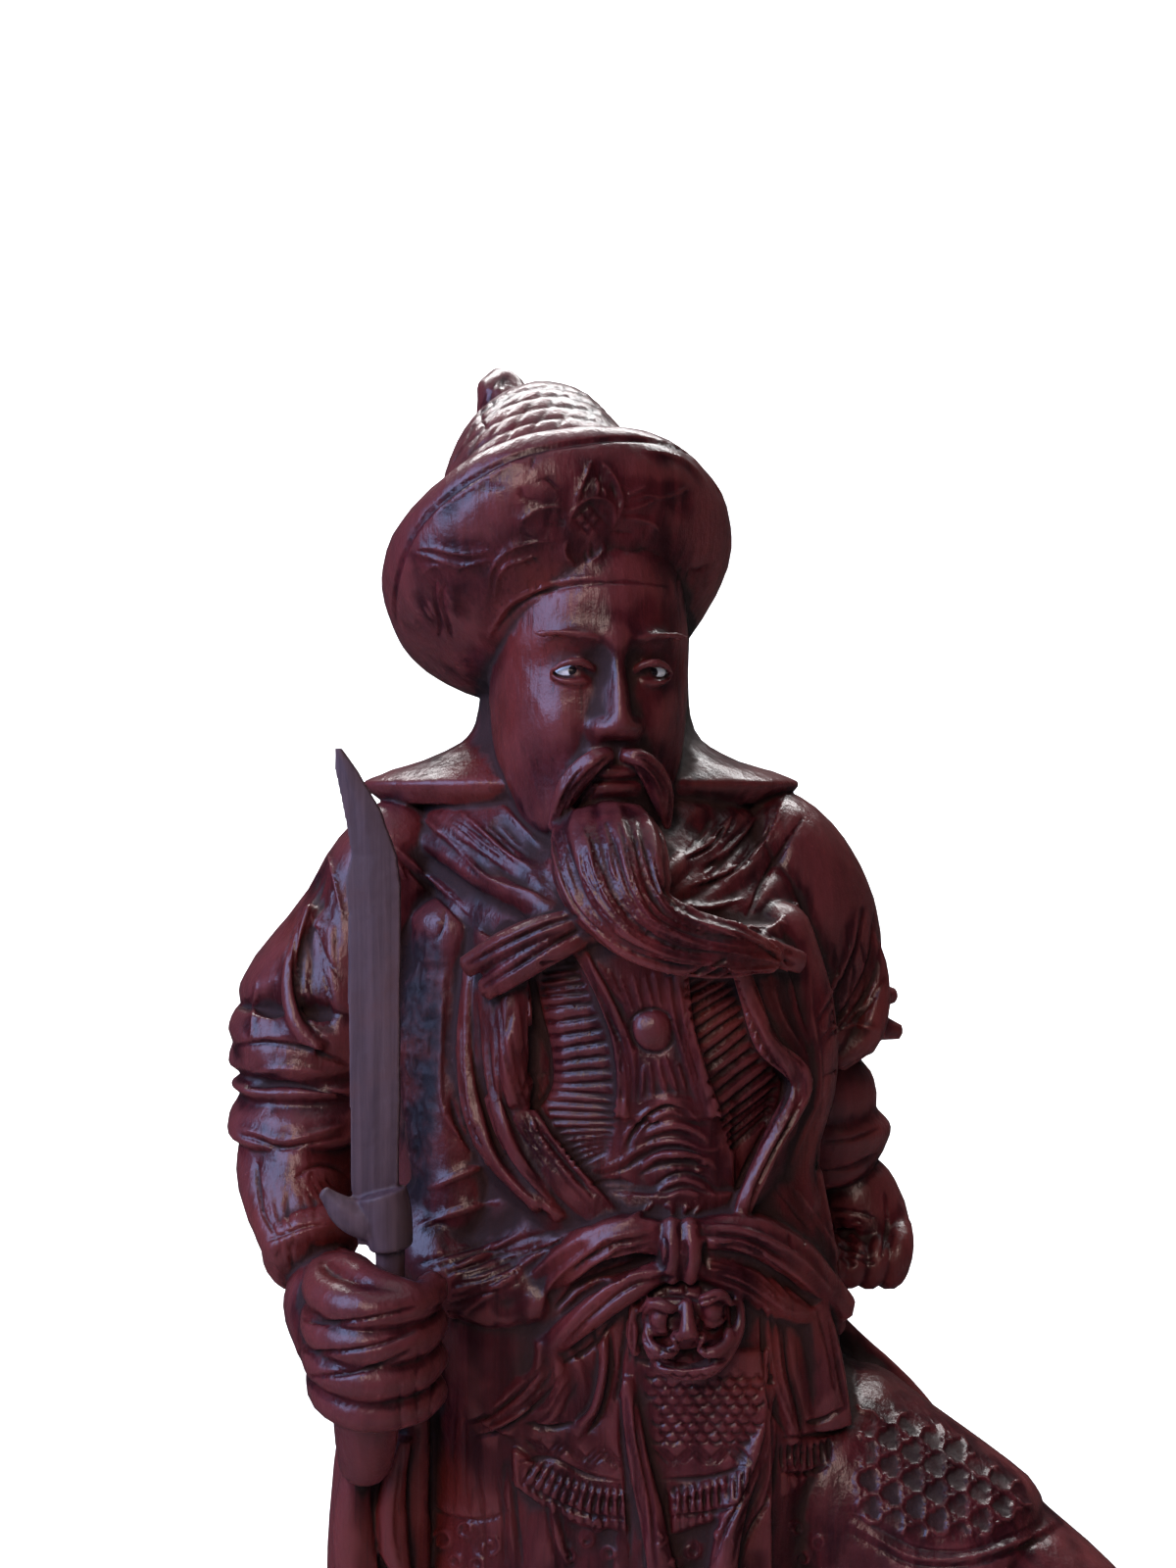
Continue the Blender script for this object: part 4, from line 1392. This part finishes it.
# %% [markdown]
# ### Thigh: knotwork of three-armed bars
# The armour over the thigh carries an old geometric pattern: three-armed bars on the corners of a
# honeycomb, each arm bent so that neighbours hook into one another. One loop over the honeycomb
# draws it, leaned to follow the leg.

# %% Carve the thigh armour
THIGH = dict(start=(890, 1440), along=(0.86, 0.51), down=(-0.42, 0.91), cell=27.0)
ARMOUR_BORDER = [864, 933, 985, 1035, 1081], [1545, 1575, 1578, 1562, 1538]
LEG_RIDGE = [875, 905, 960, 1035, 1086], [1430, 1436, 1452, 1502, 1546]
ARMOUR_ENDS = 872, 1072


def on_thigh(a, b):
    """Place on the sheet of a place on the armour, in squares along the leg and down from its top."""
    return (np.array(THIGH["start"]) + a * np.array(THIGH["along"]) + b * np.array(THIGH["down"]))


def inside_thigh(p):
    """Whether a place on the sheet is between the ridge of the leg and the armour's border."""
    low = np.interp(p[0], *ARMOUR_BORDER)
    high = np.interp(p[0], *LEG_RIDGE)
    return ARMOUR_ENDS[0] < p[0] < ARMOUR_ENDS[1] and high < p[1] < low


cell = THIGH["cell"]
for row in range(-1, 9):
    for column in range(-3, 12):
        a, b = cell * (column + 0.5 * (row % 2)), cell * 0.866 * row
        for arm in range(3):
            aim = TURN * (arm / 3 + 0.08)
            knee = np.array([a + 0.42 * cell * np.cos(aim), b + 0.42 * cell * np.sin(aim)])
            tip = knee + 0.3 * cell * np.array([np.cos(aim + 1.05), np.sin(aim + 1.05)])
            spots = [on_thigh(a, b), on_thigh(*knee), on_thigh(*tip)]
            if all(inside_thigh(p) for p in spots):
                stroke([spots[0], spots[0] * 0.3 + spots[1] * 0.7, spots[1]], 4.0, -1.0, point=0.2,
                       ends=0.05)
                stroke([spots[1], spots[2]], 4.0, -1.0, point=0.2, ends=0.05)
ARMOUR_CREST = [(864, 1553), (900, 1573), (933, 1589), (985, 1590), (1035, 1575), (1065, 1561),
    (1083, 1546)]
ridges(3.6, 1.0, ARMOUR_CREST)
ARMOUR_GROOVES = [[(862, 1561), (898, 1581), (932, 1597), (985, 1598), (1036, 1583), (1068, 1568),
     (1088, 1552)], [(868, 1545), (903, 1564), (936, 1580), (985, 1582), (1032, 1567), (1060, 1554)]]
cuts(3.2, 0.9, *ARMOUR_GROOVES)
carved("thigh armour")

# %% [markdown]
# ### Hand of the carver
# No surface on the real figure is quite smooth: the knife leaves faint flats everywhere, and the wood
# between arm and trunk was never cleaned up. Blender's noise textures could displace it, but the
# same noise is wanted in the mesh, so it is a small lattice of seeded random numbers, blended.

# %% Unevenness
lattice = np.random.default_rng(11).uniform(-1, 1, (32, 32, 32))


def unevenness(p, size):
    """Smooth noise: random numbers on a lattice of that size, blended with 3t^2 - 2t^3 weights."""
    q = p / size
    base = np.floor(q).astype(int)
    w = q - base
    w = w * w * (3 - 2 * w)
    total = np.zeros(len(p))
    for corner in range(8):
        step = np.array([corner & 1, corner >> 1 & 1, corner >> 2 & 1])
        at = (base + step) % 32
        share = np.prod(np.where(step, w, 1 - w), axis=1)
        total += share * lattice[at[:, 0], at[:, 1], at[:, 2]]
    return total


moved = np.zeros(len(places))
moved[seen] = height + fold_height


def unfinished(p):
    """Share of rough, unfinished wood: a bell across the hollow between the right arm and the
    trunk, faded out at its top, its foot and its front."""
    x, y, z = p.T
    return (np.exp(-((x + 60) / 12) ** 2) * np.clip((y + 50) / 10, 0, 1) * np.clip((z - 384) / 14, 0, 1)
            * np.clip((484 - z) / 14, 0, 1))


moved += 0.2 * unevenness(places, 9.0) + 0.13 * unevenness(places, 3.7)
moved += unfinished(places) * (0.7 * unevenness(places, 3.1) + 0.6 * unevenness(places, 1.7) - 3.4)
places += outward * moved[:, None]
places = spread(places, links, 1) * 0.35 + places * 0.65
outward = skin_normals(places)

# %% [markdown]
# ## Thinning the skin
# The skin has far more triangles than its flat places need. The Decimate modifier closes up the
# edges that matter least. It thins the sides and the back first, which are plain, and then the
# whole, so that most of the triangles left gather on the carving. A tool mark must not stand out past
# the block the figure was cut from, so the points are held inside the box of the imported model.

# %% Thin the skin
PLAIN_TRIANGLES = 46000
CLEARANCE = 0.05


def thinned(obj, triangles, first=None):
    """Decimates an object to about the given number of triangles; with a list of first points, no
    others are touched."""
    thin = obj.modifiers.new("thin", "DECIMATE")
    corners = sum(len(polygon.vertices) - 2 for polygon in obj.data.polygons)
    thin.ratio = min(1.0, triangles / corners)
    thin.use_collapse_triangulate = True
    if first is not None:
        group = obj.vertex_groups.new(name="plain")
        group.add(first, 1.0, "REPLACE")
        thin.vertex_group = group.name
    baked(obj)
    obj.vertex_groups.clear()
    print(obj.name, "now", len(obj.data.polygons), "faces")
    return obj


front = np.zeros(len(places), bool)
front[seen] = True
figure_triangles = 2 * len(figure.data.polygons)
plain = np.flatnonzero(~front)
carved_triangles = int(figure_triangles * len(seen) / len(places))
thinned(figure, carved_triangles + PLAIN_TRIANGLES, plain.tolist())
thinned(figure, FIGURE_TRIANGLES)
low, high = (np.array(corner) for corner in cad_box)
inside = np.clip(points_of(figure.data), low + CLEARANCE * MM, high - CLEARANCE * MM)
figure.data.vertices.foreach_set("co", inside.astype(np.float32).ravel())
figure.data.update()
figure.data.shade_smooth()
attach(figure, "root")
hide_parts("warrior")

# %% [markdown]
# ## Hollows and worn edges
# Dust and old wax gather in the hollows of a carving, and hands polish its edges. Both follow the
# shape, so each point of the finished mesh is told how far it lies under or over the average of the
# points around it, near by and further off. The materials read these numbers.

# %% Measure hollows
def remember(mesh, name, values):
    """Stores one number for each vertex of a mesh."""
    mesh.attributes.new(name, "FLOAT", "POINT").data.foreach_set("value", values.astype(np.float32))


def measure_hollows(obj, rounds):
    """Hollow = how far the smoothed skin lies outside the point along its normal, in millimetres.
    Fine hollows come from a few rounds of averaging, broad ones from many; a negative number is an
    edge or a crest."""
    mesh = obj.data
    p, n, e = points_of(mesh) / MM, normals_of(mesh), edges_of(mesh)
    fine = spread(p, e, rounds[0])
    broad = spread(fine, e, rounds[1])
    near_by = ((fine - p) * n).sum(1)
    far_off = ((broad - p) * n).sum(1)
    remember(mesh, "fine_hollow", spread(near_by[:, None], e, 1)[:, 0])
    remember(mesh, "broad_hollow", spread(far_off[:, None], e, 2)[:, 0])
    print(obj.name, "fine hollows", np.percentile(near_by, (2, 50, 98)).round(3), "broad",
          np.percentile(far_off, (2, 50, 98)).round(3))


measure_hollows(figure, (5, 40))
remember(figure.data, "unfinished", unfinished(points_of(figure.data) / MM - SPINE))

# %% [markdown]
# ## Sabre
# The sabre is cut from a lighter, duller board. It is a flat blade with one sharp edge and a blunt
# back, a small block for the guard with a wing, and a peg that stands in the fist's hole.

# %% Sabre
shells.clear()
BLADE = np.array([(388, -71, -60), (404, -73, -58.5), (430, -73.5, -58), (462, -74, -58),
                  (490, -74, -57.6), (500, -75, -58), (508, -73, -59), (522, -75.5, -64),
                  (534, -78, -71), (541, -78, -76)], float)


def blade():
    """Section of the blade: from the sharp left edge both faces bow out like a square root, full at
    three fifths of the width and nearly as thick at the back."""
    stops = np.arange(len(BLADE))
    row = np.linspace(0, stops[-1], 240)
    z, left, right = (np.interp(row, stops, BLADE[:, k])[:, None] for k in range(3))
    s = np.linspace(0, 1, 36)[None]
    swell = SABRE["thickness"] / 2 * np.interp(s, [0, 0.02, 0.5, 0.72, 1], [0.12, 0.2, 0.95, 1, 0.86])
    x = left + (right - left) * s
    y = SABRE["middle"][1]
    face = np.stack([x, y - swell + 0 * x, z + 0 * x], -1)
    back = np.stack([x, y + swell + 0 * x, z + 0 * x], -1)[:, ::-1]
    shell(np.concatenate([face, back], 1))


def hilt():
    """Guard block, its wing, and the peg in the fist."""
    mx, y = SABRE["middle"]
    low = SABRE["guard"]
    rod([(-64, y, 405), (-62, y, 397), (-60.5, y, low)], [8, 8, 6.5], [6, 6.5, 6], gap=0.6, soft=0.25)
    rod([(-64, y, 394), (-74, y - 1, 398), (-82, y - 1, 405)], [6, 5.5, 1.4], [5.5, 4, 1.4], gap=0.6,
        soft=0.3)
    rod([(mx, y, low + 4), (mx, y, low - SABRE["tang"])], 4.6, 2.6, gap=0.6, soft=0.1)


blade()
hilt()
sabre = skinned("wooden_sabre", shells, 0.5)
edge_links = edges_of(sabre.data)
cut = spread(points_of(sabre.data) / MM, edge_links, 2)
cut += normals_of(sabre.data) * (0.12 * unevenness(cut, 6.0) + 0.07 * unevenness(cut, 2.2))[:, None]
sabre.data.vertices.foreach_set("co", (cut * MM).astype(np.float32).ravel())
sabre.data.update()
thinned(sabre, 24000)
sabre.data.shade_smooth()
measure_hollows(sabre, (4, 20))
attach(sabre, "root")
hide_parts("sabre")

# %% [markdown]
# ## Eyes
# Each eye is a white almond set into the wood. It is an ellipse carried across, whose height follows
# the half circle, so it tapers to both corners; the pupil is only colour.

# %% Eyes
def eye_almond(s):
    """Almond: at share u across, the section's half height and depth are sqrt(1 - 0.96 u^2)."""
    u_share = np.linspace(-1, 1, 41)[:, None]
    a = np.linspace(0, TURN, 28, endpoint=False)[None]
    lean = np.sqrt(1 - 0.96 * u_share ** 2)
    return np.stack([
        s * HEAD["eye_gap"] / 2 + u_share * EYE["wide"] + s * 0.32 + 0 * a,
        -31.4 + np.abs(u_share) * 1.2 - EYE["deep"] * lean * np.sin(a),
        HEAD["eye_height"] + EYE["high"] * lean * np.cos(a)], -1)


eyes = []
for label, s, node_name in (("eye_right", -1, "right_eye"), ("eye_left", 1, "left_eye")):
    shells.clear()
    shell(eye_almond(s), HEAD_FRAME)
    eye = skinned(label, shells, 0.25)
    eye.data.shade_smooth()
    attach(eye, "root")
    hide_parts(node_name)
    pupil = HEAD_FRAME[:3, :3] @ np.array([s * HEAD["eye_gap"] / 2, -34.6, HEAD["eye_height"] + 0.2])
    eyes.append((eye, (pupil + HEAD_FRAME[:3, 3] + SPINE) * MM))

# %% [markdown]
# ## Finishes
# Shader nodes are written as sums and products: a small class wraps a socket, and each operator
# adds its Math node. Colours are mixed by a Mix node, because a Math node would turn them grey.

# %% Shader arithmetic
class Link:
    """A socket in a material that can be added, multiplied and compared with numbers or others."""

    def __init__(self, paint, socket):
        self.paint, self.socket = paint, socket

    def maths(self, operation, first, second=0.0):
        return self.paint.node("ShaderNodeMath", dict(operation=operation), {0: first, 1: second})

    def __add__(self, other):
        return self.maths("ADD", self, other)

    def __sub__(self, other):
        return self.maths("SUBTRACT", self, other)

    def __rsub__(self, other):
        return self.maths("SUBTRACT", other, self)

    def __mul__(self, other):
        return self.maths("MULTIPLY", self, other)

    __radd__, __rmul__ = __add__, __mul__

    def between(self, low, high):
        """Rises smoothly from 0 to 1 while the value goes from low to high."""
        return self.paint.node("ShaderNodeMapRange", dict(interpolation_type="SMOOTHSTEP"),
                               {0: self, 1: low, 2: high, 3: 0.0, 4: 1.0})


class Paint:
    """One material: node() adds any node, its settings first and then its sockets."""

    def __init__(self, name):
        self.material = bpy.data.materials.new(name)
        self.material.use_nodes = True
        self.tree = self.material.node_tree
        self.shader = self.tree.nodes["Principled BSDF"]

    def fill(self, socket, value):
        if isinstance(value, Link):
            self.tree.links.new(value.socket, socket)
        else:
            socket.default_value = value

    def node(self, kind, settings=None, sockets=None, output=0):
        made = self.tree.nodes.new(kind)
        for key, value in (settings or {}).items():
            setattr(made, key, value)
        for key, value in (sockets or {}).items():
            self.fill(made.inputs[key], value)
        return Link(self, made.outputs[output])

    def noise(self, where, scale, detail=3.0, rough=0.55, twist=0.0):
        return self.node("ShaderNodeTexNoise", None, {"Vector": where, "Scale": scale, "Detail": detail,
                                                      "Roughness": rough, "Distortion": twist})

    def stretched(self, where, scale, turn=(0.0, 0.0, 0.0)):
        return self.node("ShaderNodeMapping", None, {"Vector": where, "Scale": scale, "Rotation": turn})

    def mix(self, share, first, second):
        return self.node("ShaderNodeMix", dict(data_type="RGBA"), {0: share, 6: first, 7: second}, 2)

    def places(self):
        return self.node("ShaderNodeTexCoord", None, None, "Object")

    def attribute(self, name):
        return self.node("ShaderNodeAttribute", dict(attribute_name=name), None, "Fac")

    def bump(self, height, strength, distance):
        self.fill(self.shader.inputs["Normal"], self.node("ShaderNodeBump", None, {
            "Strength": strength, "Distance": distance, "Height": height}))

    def set(self, **values):
        for key, value in values.items():
            self.fill(self.shader.inputs[key.replace("_", " ")], value)

    def put_on(self, obj):
        obj.data.materials.clear()
        obj.data.materials.append(self.material)
        print(self.material.name, "on", obj.name, "with", len(self.tree.nodes), "nodes")


def rgb(r, g, b):
    """Colour from light amounts, opaque."""
    return (r, g, b, 1.0)

# %% [markdown]
# ### Waxed dark hardwood
# The wood is a very dark wine brown with a red glow where it has been rubbed. Streaks of grain run
# upwards through the whole block, so they are noise on stretched object coordinates. Hollows are
# almost black with a dry brownish dust, crests are lighter and shinier, and small tool marks roughen
# the shine.

# %% Hardwood
wood = Paint("waxed_hardwood")
where = wood.places()
grain = wood.noise(wood.stretched(where, (95.0, 95.0, 7.0), (0.05, 0.12, 0.0)), 1.0, 6.0, 0.62, 0.6)
pores = wood.noise(wood.stretched(where, (900.0, 900.0, 60.0), (0.05, 0.12, 0.0)), 1.0, 2.0)
cloudy = wood.noise(where, 14.0, 3.0)
blotch = wood.noise(where, 55.0, 4.0, 0.6)
fine, broad = wood.attribute("fine_hollow"), wood.attribute("broad_hollow")
crest = (fine * -1.0 + broad * -0.10).between(0.09, 0.42)
hollow = (fine * 1.0 + broad * 0.30 + blotch * 0.2 - 0.1).between(0.02, 0.55)
dust = (broad * 0.5 + fine * 0.7 + blotch * 0.9 - 0.45).between(0.10, 0.75)

body = wood.mix(grain.between(0.35, 0.68), rgb(0.018, 0.0024, 0.0042), rgb(0.058, 0.0078, 0.0104))
body = wood.mix(cloudy.between(0.46, 0.72) * 0.65, body, rgb(0.110, 0.015, 0.011))
body = wood.mix(pores.between(0.56, 0.72) * 0.45, body, rgb(0.012, 0.003, 0.003))
body = wood.mix(crest * 0.38, body, rgb(0.15, 0.036, 0.036))
body = wood.mix(hollow * 0.85, body, rgb(0.007, 0.0018, 0.0018))
body = wood.mix(dust * 0.20, body, rgb(0.042, 0.013, 0.011))
raw = wood.attribute("unfinished").between(0.15, 0.6)
body = wood.mix(raw * blotch.between(0.3, 0.6), body, rgb(0.012, 0.0042, 0.0056))
wood.set(Base_Color=body, Specular_IOR_Level=0.30,
         Roughness=0.25 + blotch * 0.15 + hollow * 0.28 + dust * 0.22 + raw * 0.3)
facets = wood.node("ShaderNodeTexVoronoi", None, {
    "Vector": wood.stretched(where, (240.0, 240.0, 110.0), (0.3, 0.4, 0.2)), "Scale": 1.0})
wood.bump(blotch * 0.5 + grain * 0.4 + pores * 0.35 + facets * 0.7 + wood.noise(where, 420.0, 3.0,
                                                                                0.6) * 0.6, 0.42,
          0.0008)
wood.put_on(figure)

# %% [markdown]
# ### Dull wood of the sabre
# The board of the sabre has hardly any polish. Its grain runs along the blade, and it is greyer.

# %% Sabre wood
dull = Paint("dull_sabre_wood")
where = dull.places()
streaks = dull.noise(dull.stretched(where, (420.0, 420.0, 16.0), (0.0, 0.03, 0.0)), 1.0, 5.0, 0.6, 0.4)
spots = dull.noise(where, 90.0, 4.0)
fine = dull.attribute("fine_hollow")
board = dull.mix(streaks.between(0.3, 0.7), rgb(0.038, 0.018, 0.023), rgb(0.064, 0.034, 0.041))
board = dull.mix(spots.between(0.5, 0.8) * 0.5, board, rgb(0.070, 0.024, 0.022))
board = dull.mix((fine * -1.0).between(0.02, 0.2) * 0.4, board, rgb(0.10, 0.062, 0.066))
board = dull.mix(fine.between(0.03, 0.25) * 0.8, board, rgb(0.016, 0.006, 0.006))
dull.set(Base_Color=board, Specular_IOR_Level=0.34, Roughness=0.52 + spots * 0.16)
dull.bump(streaks * 0.6 + dull.noise(where, 300.0, 3.0) * 0.5, 0.3, 0.0005)
dull.put_on(sabre)

# %% [markdown]
# ### White inlay
# The eyes are off-white with a dark round pupil. The distance from the pupil's middle is worked out
# from object coordinates, so the pupil stays where it is from every side.

# %% Inlay
for eye, pupil in eyes:
    inlay = Paint(eye.name + "_inlay")
    where = inlay.places()
    far = inlay.node("ShaderNodeVectorMath", dict(operation="DISTANCE"), {0: where, 1: tuple(pupil)},
                     "Value")
    stain = inlay.noise(where, 700.0, 3.0)
    white = inlay.mix(stain.between(0.4, 0.8) * 0.5, rgb(0.62, 0.62, 0.64), rgb(0.36, 0.34, 0.33))
    inlay.set(Base_Color=inlay.mix(far.between(0.0019, 0.0024), rgb(0.012, 0.008, 0.010), white),
              Roughness=0.22 + stain * 0.15)
    inlay.bump(stain, 0.1, 0.0002)
    inlay.put_on(eye)

# %% [markdown]
# ## Stage, light and camera
# The figure stands on a pale floor that runs up into a pale wall. A broad cool light from the upper
# left gives the bluish gloss, and a smaller warm one from the front keeps the wood red. A faint one
# overhead draws the upper edges, and a last one washes the wall. The floor isn't mirrored in the wax,
# which would veil the dark wood with grey. The camera looks level at the beard from half a metre, as
# the photograph does.

# %% Floor and wall
def sweep():
    """Floor and wall in one sheet: flat, then a quarter circle, then upright."""
    bend = np.linspace(0, np.pi / 2, 24)
    y = np.concatenate([[-3.0], 1.6 + 0.8 * np.sin(bend), [2.4]])
    z = np.concatenate([[0.0], 0.8 - 0.8 * np.cos(bend), [4.0]])
    x = np.array([-4.0, 4.0])
    grid = np.stack([np.broadcast_to(x, (len(y), 2)), np.broadcast_to(y[:, None], (len(y), 2)),
                     np.broadcast_to(z[:, None], (len(y), 2))], -1)
    i = np.arange(len(y) - 1)
    faces = np.stack([2 * i, 2 * i + 1, 2 * i + 3, 2 * i + 2], -1)
    return mesh_object("pale_sweep", grid.reshape(-1, 3), faces)


floor = sweep()
pale = Paint("pale_floor")
speck = pale.noise(pale.places(), 6.0, 2.0)
pale.set(Base_Color=pale.mix(speck, rgb(0.80, 0.80, 0.80), rgb(0.84, 0.84, 0.84)), Roughness=0.8)
pale.put_on(floor)
floor.data.shade_smooth()
floor.visible_glossy = False

# %% Lights
from mathutils import Vector


def panel(name, place, aim, size, power, colour):
    """Rectangular light that faces the point it is aimed at."""
    lamp = bpy.data.lights.new(name, "AREA")
    lamp.shape, lamp.size, lamp.size_y = "RECTANGLE", size[0], size[1]
    lamp.energy, lamp.color = power, colour
    obj = bpy.data.objects.new(name, lamp)
    obj.location = place
    obj.rotation_euler = (Vector(aim) - Vector(place)).to_track_quat("-Z", "Y").to_euler()
    bpy.context.scene.collection.objects.link(obj)
    return obj


MIDDLE = (0.0, 0.0, 0.42)
panel("cool_key", (-1.05, -0.6, 1.1), MIDDLE, (0.8, 1.1), 30, (0.38, 0.54, 1.0))
panel("warm_front", (-0.45, -1.5, 1.4), MIDDLE, (0.6, 0.6), 16, (1.0, 0.74, 0.64))
panel("overhead", (0.1, -0.2, 1.7), MIDDLE, (0.8, 0.5), 2, (0.92, 0.95, 1.0))
panel("wall_wash", (0.0, 1.3, 2.6), (0.0, 2.2, 0.6), (3.0, 0.6), 210, (1.0, 1.0, 1.0))
world = bpy.data.worlds.new("studio")
world.use_nodes = True
world.node_tree.nodes["Background"].inputs["Color"].default_value = (0.85, 0.90, 1.0, 1.0)
world.node_tree.nodes["Background"].inputs["Strength"].default_value = 0.03
bpy.context.scene.world = world
bpy.context.scene.view_settings.view_transform = "Standard"

# %% Camera
lens = bpy.data.cameras.new("camera")
lens.lens, lens.sensor_width = 35.0, 36.0
camera = bpy.data.objects.new("camera", lens)
camera.location = (np.array(VIEW["place"]) + SPINE) * MM
camera.rotation_euler = (np.pi / 2, 0.0, 0.0)
bpy.context.scene.collection.objects.link(camera)
bpy.context.scene.camera = camera
print("camera at", tuple(round(c, 3) for c in camera.location))
